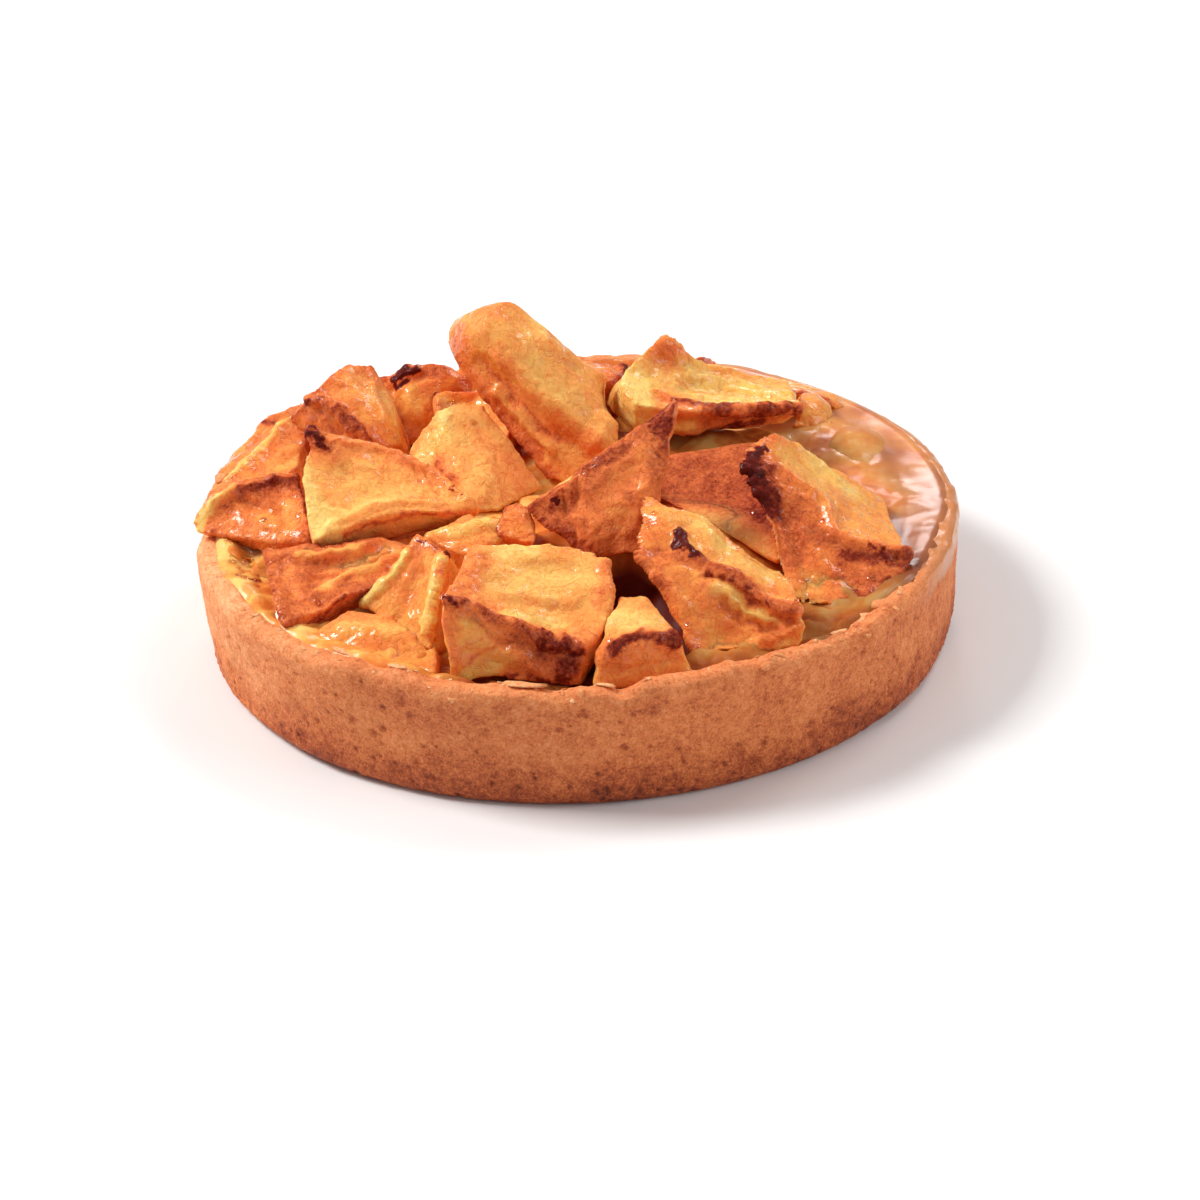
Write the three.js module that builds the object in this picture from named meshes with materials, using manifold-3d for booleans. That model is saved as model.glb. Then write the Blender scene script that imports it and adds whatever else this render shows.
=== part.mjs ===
// A small apple tartlet, baked in a ring: a straight-sided shortcrust case, a soft fruit filling,
// and a heap of peeled apple pieces that browned and curled in the oven.
// Millimetres, +Z up. The origin is the centre of the underside, and its front faces -Y.

import * as THREE from 'three';
import { mergeVertices } from 'three/addons/utils/BufferGeometryUtils.js';
import Module from 'manifold-3d';

// The case
const CASE_RADIUS = 50;
const CASE_HEIGHT = 16.4;
const CASE_BASE_RADIUS = 49;
const WALL = 3.4;
const FLOOR = 4;
const FOOT_ROUND = 1.3;
const RIM_ROUND = 0.9;
const OUT_OF_ROUND = 0.992;
const CASE_SEGMENTS = 72;

// The filling
const FILLING_EDGE_HEIGHT = 13.6;
const FILLING_MIDDLE_HEIGHT = 18.2;
const FILLING_LUMP = 0.35;
const FILLING_SEGMENTS = 40;
const FILLING_RINGS = 7;

// The apple pieces
const FACET = 3;
const MOST_FACETS = 6;
const FEWEST_FACETS = 3;
const DEPTH_FACETS = 2;
const CORNER_ROUND = 0.1;
const GAP = 0.3;
const SHARPEST = 0.35;
const MERGE = 1e-4;

const wasm = await Module();
wasm.setup();

// A closed geometry as a solid that can be joined and cut.
function solidOf(geometry) {
  return new wasm.Manifold(
    new wasm.Mesh({
      numProp: 3,
      vertProperties: geometry.attributes.position.array,
      triVerts: new Uint32Array(geometry.index.array),
    }),
  );
}

// A solid as a geometry that a mesh can show.
function geometryOf(solid) {
  const { vertProperties, triVerts } = solid.getMesh();
  const geometry = new THREE.BufferGeometry();
  geometry.setAttribute('position', new THREE.BufferAttribute(vertProperties, 3));
  geometry.setIndex(new THREE.BufferAttribute(triVerts, 1));
  geometry.computeVertexNormals();
  return geometry;
}

// The biggest body of a cut solid; the crumbs that a cut leaves are dropped.
function largestBody(solid) {
  return solid.decompose().reduce((big, body) => (body.volume() > big.volume() ? body : big));
}

// A copy of a geometry with its shared vertices merged, each moved to where place() says.
function reshape(geometry, place) {
  const bare = geometry.clone();
  bare.deleteAttribute('normal');
  bare.deleteAttribute('uv');
  const merged = mergeVertices(bare, MERGE);
  const position = merged.attributes.position;
  const point = new THREE.Vector3();
  for (let i = 0; i < position.count; i += 1) {
    point.fromBufferAttribute(position, i);
    place(point);
    position.setXYZ(i, point.x, point.y, point.z);
  }
  return merged;
}

// A lathe turns its profile about Y; the tartlet stands on Z.
function lathe(profile, segments) {
  const points = profile.map(([radius, height]) => new THREE.Vector2(radius, height));
  return new THREE.LatheGeometry(points, segments).rotateX(Math.PI / 2);
}

// A hump along an edge: 0 at both ends, 1 in the middle.
const hump = (t) => 4 * t * (1 - t);

// ---------------------------------------------------------------------------
// The case: dough pressed into a ring, so the wall is straight and the rim is cut and a little uneven

function caseUnevenness(angle) {
  return 0.22 * Math.sin(3 * angle + 0.6) + 0.16 * Math.sin(7 * angle + 2.1) + 0.1 * Math.sin(13 * angle);
}

function makeCase() {
  const rimTop = CASE_HEIGHT - 0.3;
  const innerRadius = CASE_RADIUS - WALL;
  const profile = [
    [0, 0],
    [CASE_BASE_RADIUS - FOOT_ROUND, 0],
    [CASE_BASE_RADIUS - 0.3 * FOOT_ROUND, 0.3 * FOOT_ROUND],
    [CASE_BASE_RADIUS, FOOT_ROUND],
    [(CASE_RADIUS + CASE_BASE_RADIUS) / 2, CASE_HEIGHT / 2],
    [CASE_RADIUS, rimTop - RIM_ROUND],
    [CASE_RADIUS - 0.3 * RIM_ROUND, rimTop - 0.3 * RIM_ROUND],
    [CASE_RADIUS - RIM_ROUND, rimTop],
    [innerRadius + 0.6 * RIM_ROUND, rimTop - 0.2],
    [innerRadius, rimTop - RIM_ROUND],
    [innerRadius - 0.3, FLOOR + 2],
    [innerRadius - 2, FLOOR],
    [0, FLOOR],
  ];
  return reshape(lathe(profile, CASE_SEGMENTS), (point) => {
    const radius = Math.hypot(point.x, point.y);
    const angle = Math.atan2(point.y, point.x);
    const rise = THREE.MathUtils.smoothstep(point.z, FLOOR, CASE_HEIGHT);
    const swell = radius > CASE_RADIUS - WALL / 2 ? 0.12 * Math.sin(5 * angle + point.z / 5) * rise : 0;
    point.x *= (1 + swell / CASE_RADIUS) * OUT_OF_ROUND;
    point.y *= 1 + swell / CASE_RADIUS;
    point.z += rise * caseUnevenness(angle);
  });
}

// ---------------------------------------------------------------------------
// The filling: fruit and compote that set level at the wall and rise in a low mound under the heap

function fillingHeight(x, y) {
  const radius = Math.hypot(x, y);
  const mound = 1 - THREE.MathUtils.smoothstep(radius, 14, 42);
  const lumps =
    Math.sin(x / 2.3 + 1.3 * Math.sin(y / 4)) * Math.sin(y / 2.7 + 1.1 * Math.sin(x / 5)) * FILLING_LUMP;
  return FILLING_EDGE_HEIGHT + (FILLING_MIDDLE_HEIGHT - FILLING_EDGE_HEIGHT) * mound + lumps;
}

function makeFilling() {
  const innerRadius = CASE_RADIUS - WALL - GAP - 0.1;
  const underside = FLOOR + GAP;
  const profile = [
    [0, underside],
    [innerRadius - 2.2, underside],
    [innerRadius - 0.4, FLOOR + 2.2],
    [innerRadius - 0.1, FILLING_EDGE_HEIGHT - 1.2],
  ];
  for (let ring = FILLING_RINGS; ring >= 0; ring -= 1) {
    profile.push([(innerRadius * ring) / FILLING_RINGS, FILLING_EDGE_HEIGHT]);
  }
  return reshape(lathe(profile, FILLING_SEGMENTS), (point) => {
    point.x *= OUT_OF_ROUND;
    if (point.z > FILLING_EDGE_HEIGHT - 0.1) point.z = fillingHeight(point.x, point.y);
  });
}

// ---------------------------------------------------------------------------
// The apple pieces

// Each piece is a chunk of peeled apple that shows one face. face holds that face's four corners,
// anticlockwise as seen from outside: near left, near right, far right, far left. into says how far,
// and which way, the chunk goes on behind each corner. bow is how far each of the four edges swells
// out in the plane of the face, lift how far it curls up from it, and crown how far its middle rises.
const PIECES = {
  apple_front_block: {
    colour: 0xe9a656,
    face: [[-16, -40, 25], [1.5, -42.5, 19.5], [5, -30.5, 23.5], [-13, -27, 25]],
    into: [[-0.8, -3, -10], [-1, -1, -5.2], [-2.5, 2, -6.5], [1, 2, -8]],
    bow: [0, 1.6, 1.6, 0.4],
    lift: [-1.2, 0, 0.4, 0],
    crown: -1,
  },
  apple_front_wedge: {
    colour: 0xe8a552,
    face: [[3.5, -43.5, 18], [11.5, -42, 18.8], [8, -35.5, 21.5], [3.5, -35, 21.5]],
    into: [[-2, -0.8, -3.8], [1.6, -0.9, -4.4], [1, 2, -6.5], [0, 2, -6.5]],
    bow: [0.6, 0.8, 0, 0],
    lift: [1.4, 0, 0, 0],
    crown: 0.6,
  },
  apple_middle_fang: {
    colour: 0xc9652f,
    face: [[-7, -15.5, 25], [2, -20, 19.5], [8.5, -20, 20.5], [12, -8, 35]],
    into: [[2, 5, -1.4], [2, 6, -3], [1, 6, -2], [0.2, 3.4, -0.6]],
    bow: [0.8, 0, 1.2, -1.6],
    lift: [0, 0, 0.8, 0.4],
    crown: 0.6,
  },
  apple_back_wedge: {
    colour: 0xeaa65c,
    face: [[5.5, 2.5, 22], [6, 13, 29.2], [-7.5, 18, 38.2], [-11.5, 11, 37]],
    into: [[-7.5, -1.5, -5.5], [-7, 6, -10], [-5.5, 7, -4], [-5.5, 6.5, -4.4]],
    bow: [0, -0.4, 1.6, 0.2],
    lift: [0.4, 0, 0.6, 0],
    crown: 0.8,
  },
  apple_back_slab: {
    colour: 0xf0b765,
    face: [[9, 6, 28.5], [30, 10, 24.5], [29.5, 25.5, 22.5], [12.5, 20.5, 32]],
    into: [[0, 2, -6], [-2, 1, -3], [0, 3, -4.5], [-4, 4, -10]],
    bow: [0, 0, -1.4, 4.5],
    lift: [-0.6, 0, -0.6, -1.6],
    crown: -0.5,
  },
  apple_front_twist: {
    colour: 0xe9b05e,
    face: [[6.5, -29, 23.5], [27.5, -35, 19], [25, -27.5, 20.5], [9, -17.5, 28]],
    into: [[7.5, -10, -9], [0, -1, -4.5], [0, 1, -5], [3, 0, -9]],
    bow: [0.2, 0.6, -0.6, 0.3],
    lift: [0.3, 0, -0.4, 0],
    crown: 0.3,
  },
  apple_right_wedge: {
    colour: 0xe6a254,
    face: [[20.5, -11, 27.8], [42, -19.5, 17.6], [40, -4, 18], [25, -4.5, 28.8]],
    into: [[6.5, -15, -13.4], [-1.5, -5.5, -2.6], [0, 2, -3], [2, 2, -9]],
    bow: [1.8, -0.8, 0.8, 1],
    lift: [-1.2, 0, 0, 0],
    crown: 0.5,
  },
  apple_left_triangle: {
    colour: 0xeeb463,
    face: [[-33, -18, 22], [-11.5, -12.5, 23], [-21.5, -3, 26.2], [-34.5, -1.5, 31]],
    into: [[0.5, 2.5, -4], [-1, 2.5, -3], [0, 3, -4.5], [1, 3, -4]],
    bow: [-0.4, 1.2, 0.2, 0.6],
    lift: [0.6, 0, -0.3, -0.5],
    crown: -1,
  },
  apple_left_under: {
    colour: 0xc8672f,
    face: [[-31.5, -19.5, 17.5], [-17, -18.5, 18], [-13, -11, 20], [-31, -12, 19]],
    into: [[0, 2, -4], [0, 2, -4], [0, 2, -4], [0, 2, -4]],
    bow: [0.5, 0.5, 0, 0.5],
    lift: [0, 0, 0, 0],
    crown: 0.5,
  },
  apple_left_upper: {
    colour: 0xe58a3d,
    face: [[-27.5, 7, 23], [-22.5, 9.5, 22], [-26.5, 20, 29.5], [-34, 13, 29]],
    into: [[-3, 3, -5], [1, 4, -5], [-1, 5, -6], [-3.5, -0.5, -5]],
    bow: [0.3, 1, 1.8, 0],
    lift: [0, 0, 0, 0.3],
    crown: 0.9,
  },
  apple_yellow_slice: {
    colour: 0xeba83f,
    face: [[-13.5, -6.5, 19.5], [-4, 0.5, 19], [-11, 7.5, 28.5], [-18, 8, 28]],
    into: [[-4, 4, -2.5], [-2, 4, -4], [-3, 4, -5], [-4.5, -1, -5.5]],
    bow: [1.2, 0, 0.5, 0.4],
    lift: [0, 0, 0, -0.3],
    crown: 0.5,
  },
  apple_back_charred: {
    colour: 0xe1813a,
    face: [[-23.5, 17, 17.5], [-14, 20.5, 20], [-13.5, 25, 24], [-26.5, 24, 25.2]],
    into: [[0, 4, -3], [0, 4, -3], [0, 5, -5], [0, 5, -5]],
    bow: [0, 0, 2, 0.6],
    lift: [0, 0, 0.6, 0],
    crown: 1,
  },
  apple_left_far: {
    colour: 0xdd7434,
    face: [[-49, -5, 18.6], [-33.5, -13, 19], [-35, -1.5, 23.8], [-46.5, -1.5, 21.2]],
    into: [[1.5, 1, -1.8], [0.5, 2, -4], [0.5, 2, -4], [1, 2, -3]],
    bow: [0.6, 0, 0.8, 1.2],
    lift: [0, 0, 0.4, 0],
    crown: -0.5,
  },
  apple_rim_outer: {
    colour: 0xe28840,
    face: [[-47.5, 8.5, 18.4], [-36.5, 20, 21], [-36.5, 25, 21.2], [-47, 15, 18.2]],
    into: [[1.5, 1.5, -1.8], [0.5, 2, -4], [0.5, 0, -4], [2, 0, -1.8]],
    bow: [0, 0.3, 1.6, 0.6],
    lift: [0, 0, 0.4, 0],
    crown: 0.4,
  },
  apple_rim_inner: {
    colour: 0xe88b38,
    face: [[-48, 1.5, 18.6], [-35.5, 6, 20], [-36, 18.5, 22.4], [-47, 9.5, 19.4]],
    into: [[1.8, 0, -2], [0, 1, -4], [0.5, 1, -4], [2.2, 1, -2]],
    bow: [0.5, 0, 0.8, 0.5],
    lift: [0, 0, 0.5, 0],
    crown: 0.6,
  },
  apple_left_low: {
    colour: 0xe07c3c,
    face: [[-36, -30.5, 16.4], [-22, -21.5, 18.5], [-20, -16.5, 20], [-41, -15.5, 21]],
    into: [[1.2, 2, -2.6], [0, 3, -3.5], [0, 3, -4], [1, 2.5, -4]],
    bow: [0.7, 0, 0.2, 0.2],
    lift: [0.3, 0, 0, 0.4],
    crown: -1.2,
  },
  apple_left_curl: {
    colour: 0xe9a748,
    face: [[-27, -25, 17], [-18.5, -36.5, 15.4], [-16, -27, 24.3], [-19.5, -22.5, 25]],
    into: [[3, 3, -3], [2.5, 2.5, -2], [2.5, 3, -5], [2, 3.5, -5]],
    bow: [0.4, -0.5, 0, -0.6],
    lift: [0, 0.6, 0, 0.6],
    crown: -0.8,
  },
  apple_front_flat: {
    colour: 0xe0a03c,
    face: [[-34, -30.5, 15.8], [-17, -41.5, 15.4], [-18, -30.5, 17], [-29, -27.5, 17.2]],
    into: [[0.6, 0.6, -2.5], [0, 1, -2.5], [0, 0, -3], [0, 0, -3]],
    bow: [1.2, 0, 0, 0],
    lift: [0, 0, 0, 0],
    crown: 0.3,
  },
  apple_middle_ridge: {
    colour: 0xe8a33f,
    face: [[-19, -16.5, 20.2], [-13.5, -20, 20], [-7.5, -15.5, 21.5], [-13.5, -13.5, 21.8]],
    into: [[0, 1.5, -4], [0, 1, -4], [0, 2, -4], [0, 2, -4]],
    bow: [0.3, 0.2, 0, 0.4],
    lift: [0, 0, 0, 0],
    crown: 0.5,
  },
  apple_right_hollow: {
    colour: 0xd98b4a,
    face: [[9, -6, 20], [26, -21, 17.5], [29, 9, 22], [10.5, 2.5, 23]],
    into: [[0, 3, -4], [0, 3, -4], [0, 3, -4], [0, 3, -4]],
    bow: [0, 0, 0, 0],
    lift: [0, 0, 0, 0],
    crown: -1,
  },
  apple_back_right: {
    colour: 0xeda24a,
    face: [[30, 13.5, 20], [35.5, 15, 18], [36, 25.5, 19], [29.5, 28, 20]],
    into: [[0, 1, -4], [0, 1, -3], [0, 2, -4], [0, 2, -4]],
    bow: [0.3, 0.4, 0.4, 0],
    lift: [0, 0.4, 0, 0],
    crown: 0.5,
  },
  apple_right_glazed: {
    colour: 0xc9973f,
    face: [[37.5, 6, 15.8], [43, 10, 15.8], [41.5, 20, 17], [36, 18.5, 17.8]],
    into: [[0, 0, -2.5], [-0.5, 0, -2.5], [-0.5, 0, -3], [0, 0, -3]],
    bow: [0.5, 0.4, 0.4, 0],
    lift: [0, 0, 0, 0],
    crown: 0.9,
  },
  apple_middle_scrap: {
    colour: 0xe88a38,
    face: [[-9.5, -18, 21.5], [-5, -20, 21], [-5.5, -14.5, 23.5], [-9, -13.5, 23.5]],
    into: [[0, 1.5, -3], [0, 1.5, -3], [0, 2, -3.5], [0, 2, -3.5]],
    bow: [0.3, 0.3, 0.3, 0.3],
    lift: [0, 0, 0, 0],
    crown: 0.4,
  },
  apple_middle_chunk: {
    colour: 0xe39b4b,
    face: [[-2, -11, 21.5], [8, -12, 21], [9.5, -2, 23], [0, -1, 22.5]],
    into: [[0, 0, -4], [0, 0, -4], [0, 0, -5], [0, 0, -5]],
    bow: [0.4, 0.3, 0.4, 0.3],
    lift: [0, 0, 0, 0],
    crown: 0.6,
  },
  apple_left_behind: {
    colour: 0xe39a48,
    face: [[-31, -1, 19.5], [-18.5, -2.5, 20], [-16.5, 7, 21], [-29, 6.5, 22]],
    into: [[0, 0, -4.5], [0, 0, -4.5], [0, 1, -5], [0, 1, -5]],
    bow: [0.4, 0.3, 0.5, 0.4],
    lift: [0, 0, 0.4, 0],
    crown: 0.6,
  },
  apple_middle_back: {
    colour: 0xe8a24a,
    face: [[-19, 9, 22.5], [-9, 10, 22], [-7, 21, 23], [-18, 22, 24]],
    into: [[0, 0, -6], [0, 0, -6], [0, 1, -6], [0, 1, -6]],
    bow: [0.3, 0.4, 0.5, 0.3],
    lift: [0, 0, 0.5, 0],
    crown: -0.6,
  },
  apple_rear_left: {
    colour: 0xe59445,
    face: [[-37, 24, 18.2], [-22, 28.5, 22.5], [-18.5, 39.5, 18.6], [-30.5, 35.5, 16.6]],
    into: [[0.5, 1, -2.8], [-1, 1, -6], [0, -1, -4], [0.5, -1, -2]],
    bow: [0.5, 0.4, 0.8, 0.4],
    lift: [0, 0, 0.5, 0],
    crown: 0.7,
  },
  apple_rear_middle: {
    colour: 0xeaa14c,
    face: [[-15.5, 31, 24], [-3.5, 29.5, 25.5], [-1.5, 42.5, 16.6], [-14, 43, 16.2]],
    into: [[0.5, -3, -5.5], [-0.5, -3, -6.5], [0, -3.5, -1.8], [0, -3.5, -1.4]],
    bow: [1.2, 0.4, 0.6, 0.4],
    lift: [0.4, 0.3, 0, 0],
    crown: 0.5,
  },
  apple_rear_right: {
    colour: 0xe79a48,
    face: [[3, 27.5, 21], [17, 30, 23.6], [21, 40.5, 17], [5.5, 43.5, 16.4]],
    into: [[0, 1, -5], [-1, -1, -6], [0, -1, -2.4], [0, -1, -2]],
    bow: [0.4, 0.8, 0.8, 0.5],
    lift: [0, 0.4, 0, 0.3],
    crown: -0.6,
  },
  apple_rear_corner: {
    colour: 0xe59244,
    face: [[21.5, 31, 19.5], [32, 25.5, 18.6], [37.5, 28, 17], [25, 39, 16.8]],
    into: [[0, 0, -4], [0, 0, -4], [-0.5, -0.5, -2.6], [0, -1, -2.6]],
    bow: [0.3, 0.3, 1, 0.3],
    lift: [0, 0, 0, 0],
    crown: 0.4,
  },
  apple_rear_wedge: {
    colour: 0xe8a050,
    face: [[-7, 20, 25.5], [5, 17, 25.5], [8, 27, 23.5], [-5, 28.5, 22.5]],
    into: [[0, 1, -6], [0, 1, -6], [0, 0, -5], [0, 0, -5]],
    bow: [0.4, 0.4, 0.6, 0.4],
    lift: [0, 0, 0.5, 0],
    crown: 0.6,
  },
};

// The place of one point of a piece's face or of the side behind it, at u and v across it.
function patchPoint(corners, u, v, target) {
  const near = corners[0].clone().lerp(corners[1], u);
  const far = corners[3].clone().lerp(corners[2], u);
  return target.copy(near.lerp(far, v));
}

// How many facets cover a stretch of a piece's face.
function facetsAcross(from, to) {
  return THREE.MathUtils.clamp(Math.round(from.distanceTo(to) / FACET), FEWEST_FACETS, MOST_FACETS);
}

// One piece as a closed geometry: a block whose six sides are bent to the piece's own shape.
function pieceGeometry(piece) {
  const face = piece.face.map((corner) => new THREE.Vector3(...corner));
  const back = piece.into.map((into, i) => face[i].clone().add(new THREE.Vector3(...into)));
  const acrossU = face[1].clone().sub(face[0]).add(face[2]).sub(face[3]).normalize();
  const acrossV = face[3].clone().sub(face[0]).add(face[2]).sub(face[1]).normalize();
  const out = acrossU.clone().cross(acrossV).normalize();
  const edgeOut = [acrossV.clone().negate(), acrossU, acrossV, acrossU.clone().negate()];
  const facetsU = facetsAcross(face[0], face[1]);
  const facetsV = facetsAcross(face[1], face[2]);
  const block = new THREE.BoxGeometry(2, 2, 2, facetsU, facetsV, DEPTH_FACETS);
  const facePoint = new THREE.Vector3();
  const backPoint = new THREE.Vector3();
  return reshape(block, (point) => {
    const [x, y, z] = point.toArray();
    const ball = new THREE.Vector3(
      x * Math.sqrt(1 - (y * y + z * z) / 2 + (y * y * z * z) / 3),
      y * Math.sqrt(1 - (z * z + x * x) / 2 + (z * z * x * x) / 3),
      z * Math.sqrt(1 - (x * x + y * y) / 2 + (x * x * y * y) / 3),
    );
    point.lerp(ball, CORNER_ROUND);
    const u = (point.x + 1) / 2;
    const v = (point.y + 1) / 2;
    const depth = (1 - point.z) / 2;
    patchPoint(face, u, v, facePoint);
    patchPoint(back, u, v, backPoint);
    point.copy(facePoint).lerp(backPoint, depth);
    const along = [hump(u) * (1 - v), hump(v) * u, hump(u) * v, hump(v) * (1 - u)];
    along.forEach((share, edge) => {
      point.addScaledVector(edgeOut[edge], share * piece.bow[edge]);
      point.addScaledVector(out, share * piece.lift[edge] * (1 - depth));
    });
    point.addScaledVector(out, hump(u) * hump(v) * piece.crown * (1 - depth));
  });
}

// The same piece swollen by the gap that its neighbours keep from it: each corner moves out until
// every face that meets there has moved by the gap.
function swollen(geometry) {
  const position = geometry.attributes.position;
  const index = geometry.index;
  const facesAt = Array.from({ length: position.count }, () => []);
  const triangle = new THREE.Triangle();
  for (let i = 0; i < index.count; i += 3) {
    const corners = [index.getX(i), index.getX(i + 1), index.getX(i + 2)];
    triangle.setFromAttributeAndIndices(position, ...corners);
    const normal = triangle.getNormal(new THREE.Vector3());
    corners.forEach((corner) => facesAt[corner].push(normal));
  }
  const grown = geometry.clone();
  const point = new THREE.Vector3();
  facesAt.forEach((normals, i) => {
    const out = normals.reduce((sum, normal) => sum.add(normal), new THREE.Vector3()).normalize();
    const slowest = Math.min(...normals.map((normal) => normal.dot(out)));
    point.fromBufferAttribute(position, i).addScaledVector(out, GAP / Math.max(slowest, SHARPEST));
    grown.attributes.position.setXYZ(i, point.x, point.y, point.z);
  });
  return solidOf(grown);
}

// ---------------------------------------------------------------------------
// The whole tartlet

const tartlet = new THREE.Group();

function addMesh(name, geometry, colour, roughness) {
  const material = new THREE.MeshStandardMaterial({ color: colour, roughness, metalness: 0 });
  const mesh = new THREE.Mesh(geometry, material);
  mesh.name = name;
  tartlet.add(mesh);
}

const caseGeometry = makeCase();
const fillingGeometry = makeFilling();
addMesh('crust', geometryOf(solidOf(caseGeometry)), 0xd58a4e, 0.85);
addMesh('filling', geometryOf(solidOf(fillingGeometry)), 0xdf9a45, 0.35);

// Each piece gives way to the case, to the filling that it sits on and to the pieces named before it.
const takenUp = [swollen(caseGeometry), swollen(fillingGeometry)];
for (const [name, piece] of Object.entries(PIECES)) {
  const whole = pieceGeometry(piece);
  const cut = takenUp.reduce((rest, taken) => rest.subtract(taken), solidOf(whole));
  addMesh(name, geometryOf(largestBody(cut)), piece.colour, 0.4);
  takenUp.push(swollen(whole));
}

export default tartlet;
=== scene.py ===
import math

import bpy
import numpy as np
from mathutils import Matrix, Vector


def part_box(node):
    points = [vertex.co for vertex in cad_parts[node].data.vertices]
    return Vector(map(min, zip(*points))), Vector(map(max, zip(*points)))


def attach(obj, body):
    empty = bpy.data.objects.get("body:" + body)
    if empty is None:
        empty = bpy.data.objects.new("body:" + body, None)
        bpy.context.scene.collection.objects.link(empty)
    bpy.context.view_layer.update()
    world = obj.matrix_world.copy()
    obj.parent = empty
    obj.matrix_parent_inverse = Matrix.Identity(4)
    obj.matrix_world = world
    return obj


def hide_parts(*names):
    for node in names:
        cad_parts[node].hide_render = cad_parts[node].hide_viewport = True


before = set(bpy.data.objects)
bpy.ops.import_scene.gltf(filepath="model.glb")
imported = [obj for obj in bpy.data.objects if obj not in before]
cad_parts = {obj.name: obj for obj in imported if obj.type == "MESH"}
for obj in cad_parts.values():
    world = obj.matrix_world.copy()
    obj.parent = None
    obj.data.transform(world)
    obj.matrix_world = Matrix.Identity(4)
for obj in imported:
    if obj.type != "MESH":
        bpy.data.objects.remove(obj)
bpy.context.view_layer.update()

# -------------------------------------------------------------------------------------------------
# The pastry case. Shortcrust, pressed into a plain ring and baked golden: a straight sandy wall with
# pinholes and shallow dents, a rim that is worn and chipped, and a foot that is darker. On the right
# the fruit glaze has run over the rim and set there.

MM = 0.001
case_low, case_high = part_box("crust")
RIM_RADIUS = (case_high.y - case_low.y) / 2 / MM
OUT_OF_ROUND = (case_high.x - case_low.x) / (case_high.y - case_low.y)
RIM_LEVEL = 16.35
# Radius, height and the number of steps from the point before, in millimetres.
CASE_PROFILE = [
    (0, 0, 0),
    (46.8, 0, 4),
    (48.2, 0.35, 3),
    (RIM_RADIUS - 1.0, 1.4, 4),
    (RIM_RADIUS, 15.0, 48),
    (RIM_RADIUS - 0.3, 15.9, 4),
    (RIM_RADIUS - 1.0, RIM_LEVEL, 3),
    (RIM_RADIUS - 2.5, 16.3, 4),
    (RIM_RADIUS - 3.3, 15.6, 3),
    (46.4, 6, 4),
    (44.6, 4, 2),
    (0, 4, 3),
]


def turned(name, profile, steps):
    """A closed shape: a profile drawn one short edge at a time, then spun round the upright axis."""
    bpy.ops.object.select_all(action="DESELECT")
    bpy.ops.mesh.primitive_plane_add(size=MM)
    piece = bpy.context.object
    piece.name = name
    bpy.ops.object.mode_set(mode="EDIT")
    bpy.ops.mesh.select_all(action="SELECT")
    bpy.ops.mesh.merge(type="CENTER")
    bpy.ops.transform.translate(value=(profile[0][0] * MM, 0, profile[0][1] * MM))
    for (radius, height, _), (next_radius, next_height, count) in zip(profile, profile[1:]):
        step = ((next_radius - radius) * MM / count, 0, (next_height - height) * MM / count)
        for _ in range(count):
            bpy.ops.mesh.extrude_region_move(TRANSFORM_OT_translate={"value": step})
    bpy.ops.mesh.select_all(action="SELECT")
    bpy.ops.mesh.spin(steps=steps, angle=2 * math.pi, center=(0, 0, 0), axis=(0, 0, 1))
    bpy.ops.mesh.select_all(action="SELECT")
    bpy.ops.mesh.remove_doubles(threshold=0.01 * MM)
    bpy.ops.mesh.normals_make_consistent(inside=False)
    bpy.ops.object.mode_set(mode="OBJECT")
    bpy.ops.object.shade_smooth()
    return piece


def points_of(piece, what="co"):
    """The piece's vertices, or their normals, as rows of three numbers in metres."""
    flat = np.empty(len(piece.data.vertices) * 3)
    piece.data.vertices.foreach_get(what, flat)
    return flat.reshape(-1, 3)


def put_points(piece, points):
    """Moves the piece's vertices to these points."""
    piece.data.vertices.foreach_set("co", points.ravel())
    piece.data.update()


def mark(piece, name, values):
    """Writes one number a vertex, which the piece's material reads."""
    attribute = piece.data.attributes.new(name, "FLOAT", "POINT")
    attribute.data.foreach_set("value", np.asarray(values, dtype=np.float32))


def smooth(low, high, values):
    """0 up to the first value, 1 from the second on, and an even slope between them."""
    t = np.clip((values - low) / (high - low), 0, 1)
    return t * t * (3 - 2 * t)


# Smooth noise is chance values blended on a grid. The grid leans, so that no wall lines up with it,
# and large primes scatter its cells over the values.
CHANCE = np.random.default_rng(5).uniform(-1, 1, 4096)
PRIMES = np.array((73856093, 19349663, 83492791))
LEAN = np.array(Matrix.Rotation(0.9, 3, Vector((1, 2, 3))))
CELL_CORNERS = [(x, y, z) for x in (0, 1) for y in (0, 1) for z in (0, 1)]


def lumps(points, size, seed=0.0):
    """Smooth noise from about -1 to 1, with lumps of that many millimetres."""
    on_grid = points @ LEAN / (size * MM) + seed
    cell = np.floor(on_grid).astype(np.int64)
    part = on_grid - cell
    part = part * part * (3 - 2 * part)
    total = np.zeros(len(points))
    for step in CELL_CORNERS:
        key = np.bitwise_xor.reduce((cell + step) * PRIMES, axis=1)
        share = np.prod(np.where(step, part, 1 - part), axis=1)
        total += share * CHANCE[(key ^ key >> 13) % len(CHANCE)]
    return 1.3 * total


def around_and_out(points):
    """Where each point lies: degrees round the case (0 at the right, 90 at the back) and how far out."""
    angle = np.degrees(np.arctan2(points[:, 1], points[:, 0]))
    return angle, np.hypot(points[:, 0] / OUT_OF_ROUND, points[:, 1]) / MM


def round_about(angle, centre, reach):
    """1 at that place round the case, falling to 0 that many degrees to each side."""
    apart = np.abs((angle - centre + 180) % 360 - 180)
    return 1 - smooth(0, reach, apart)


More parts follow.
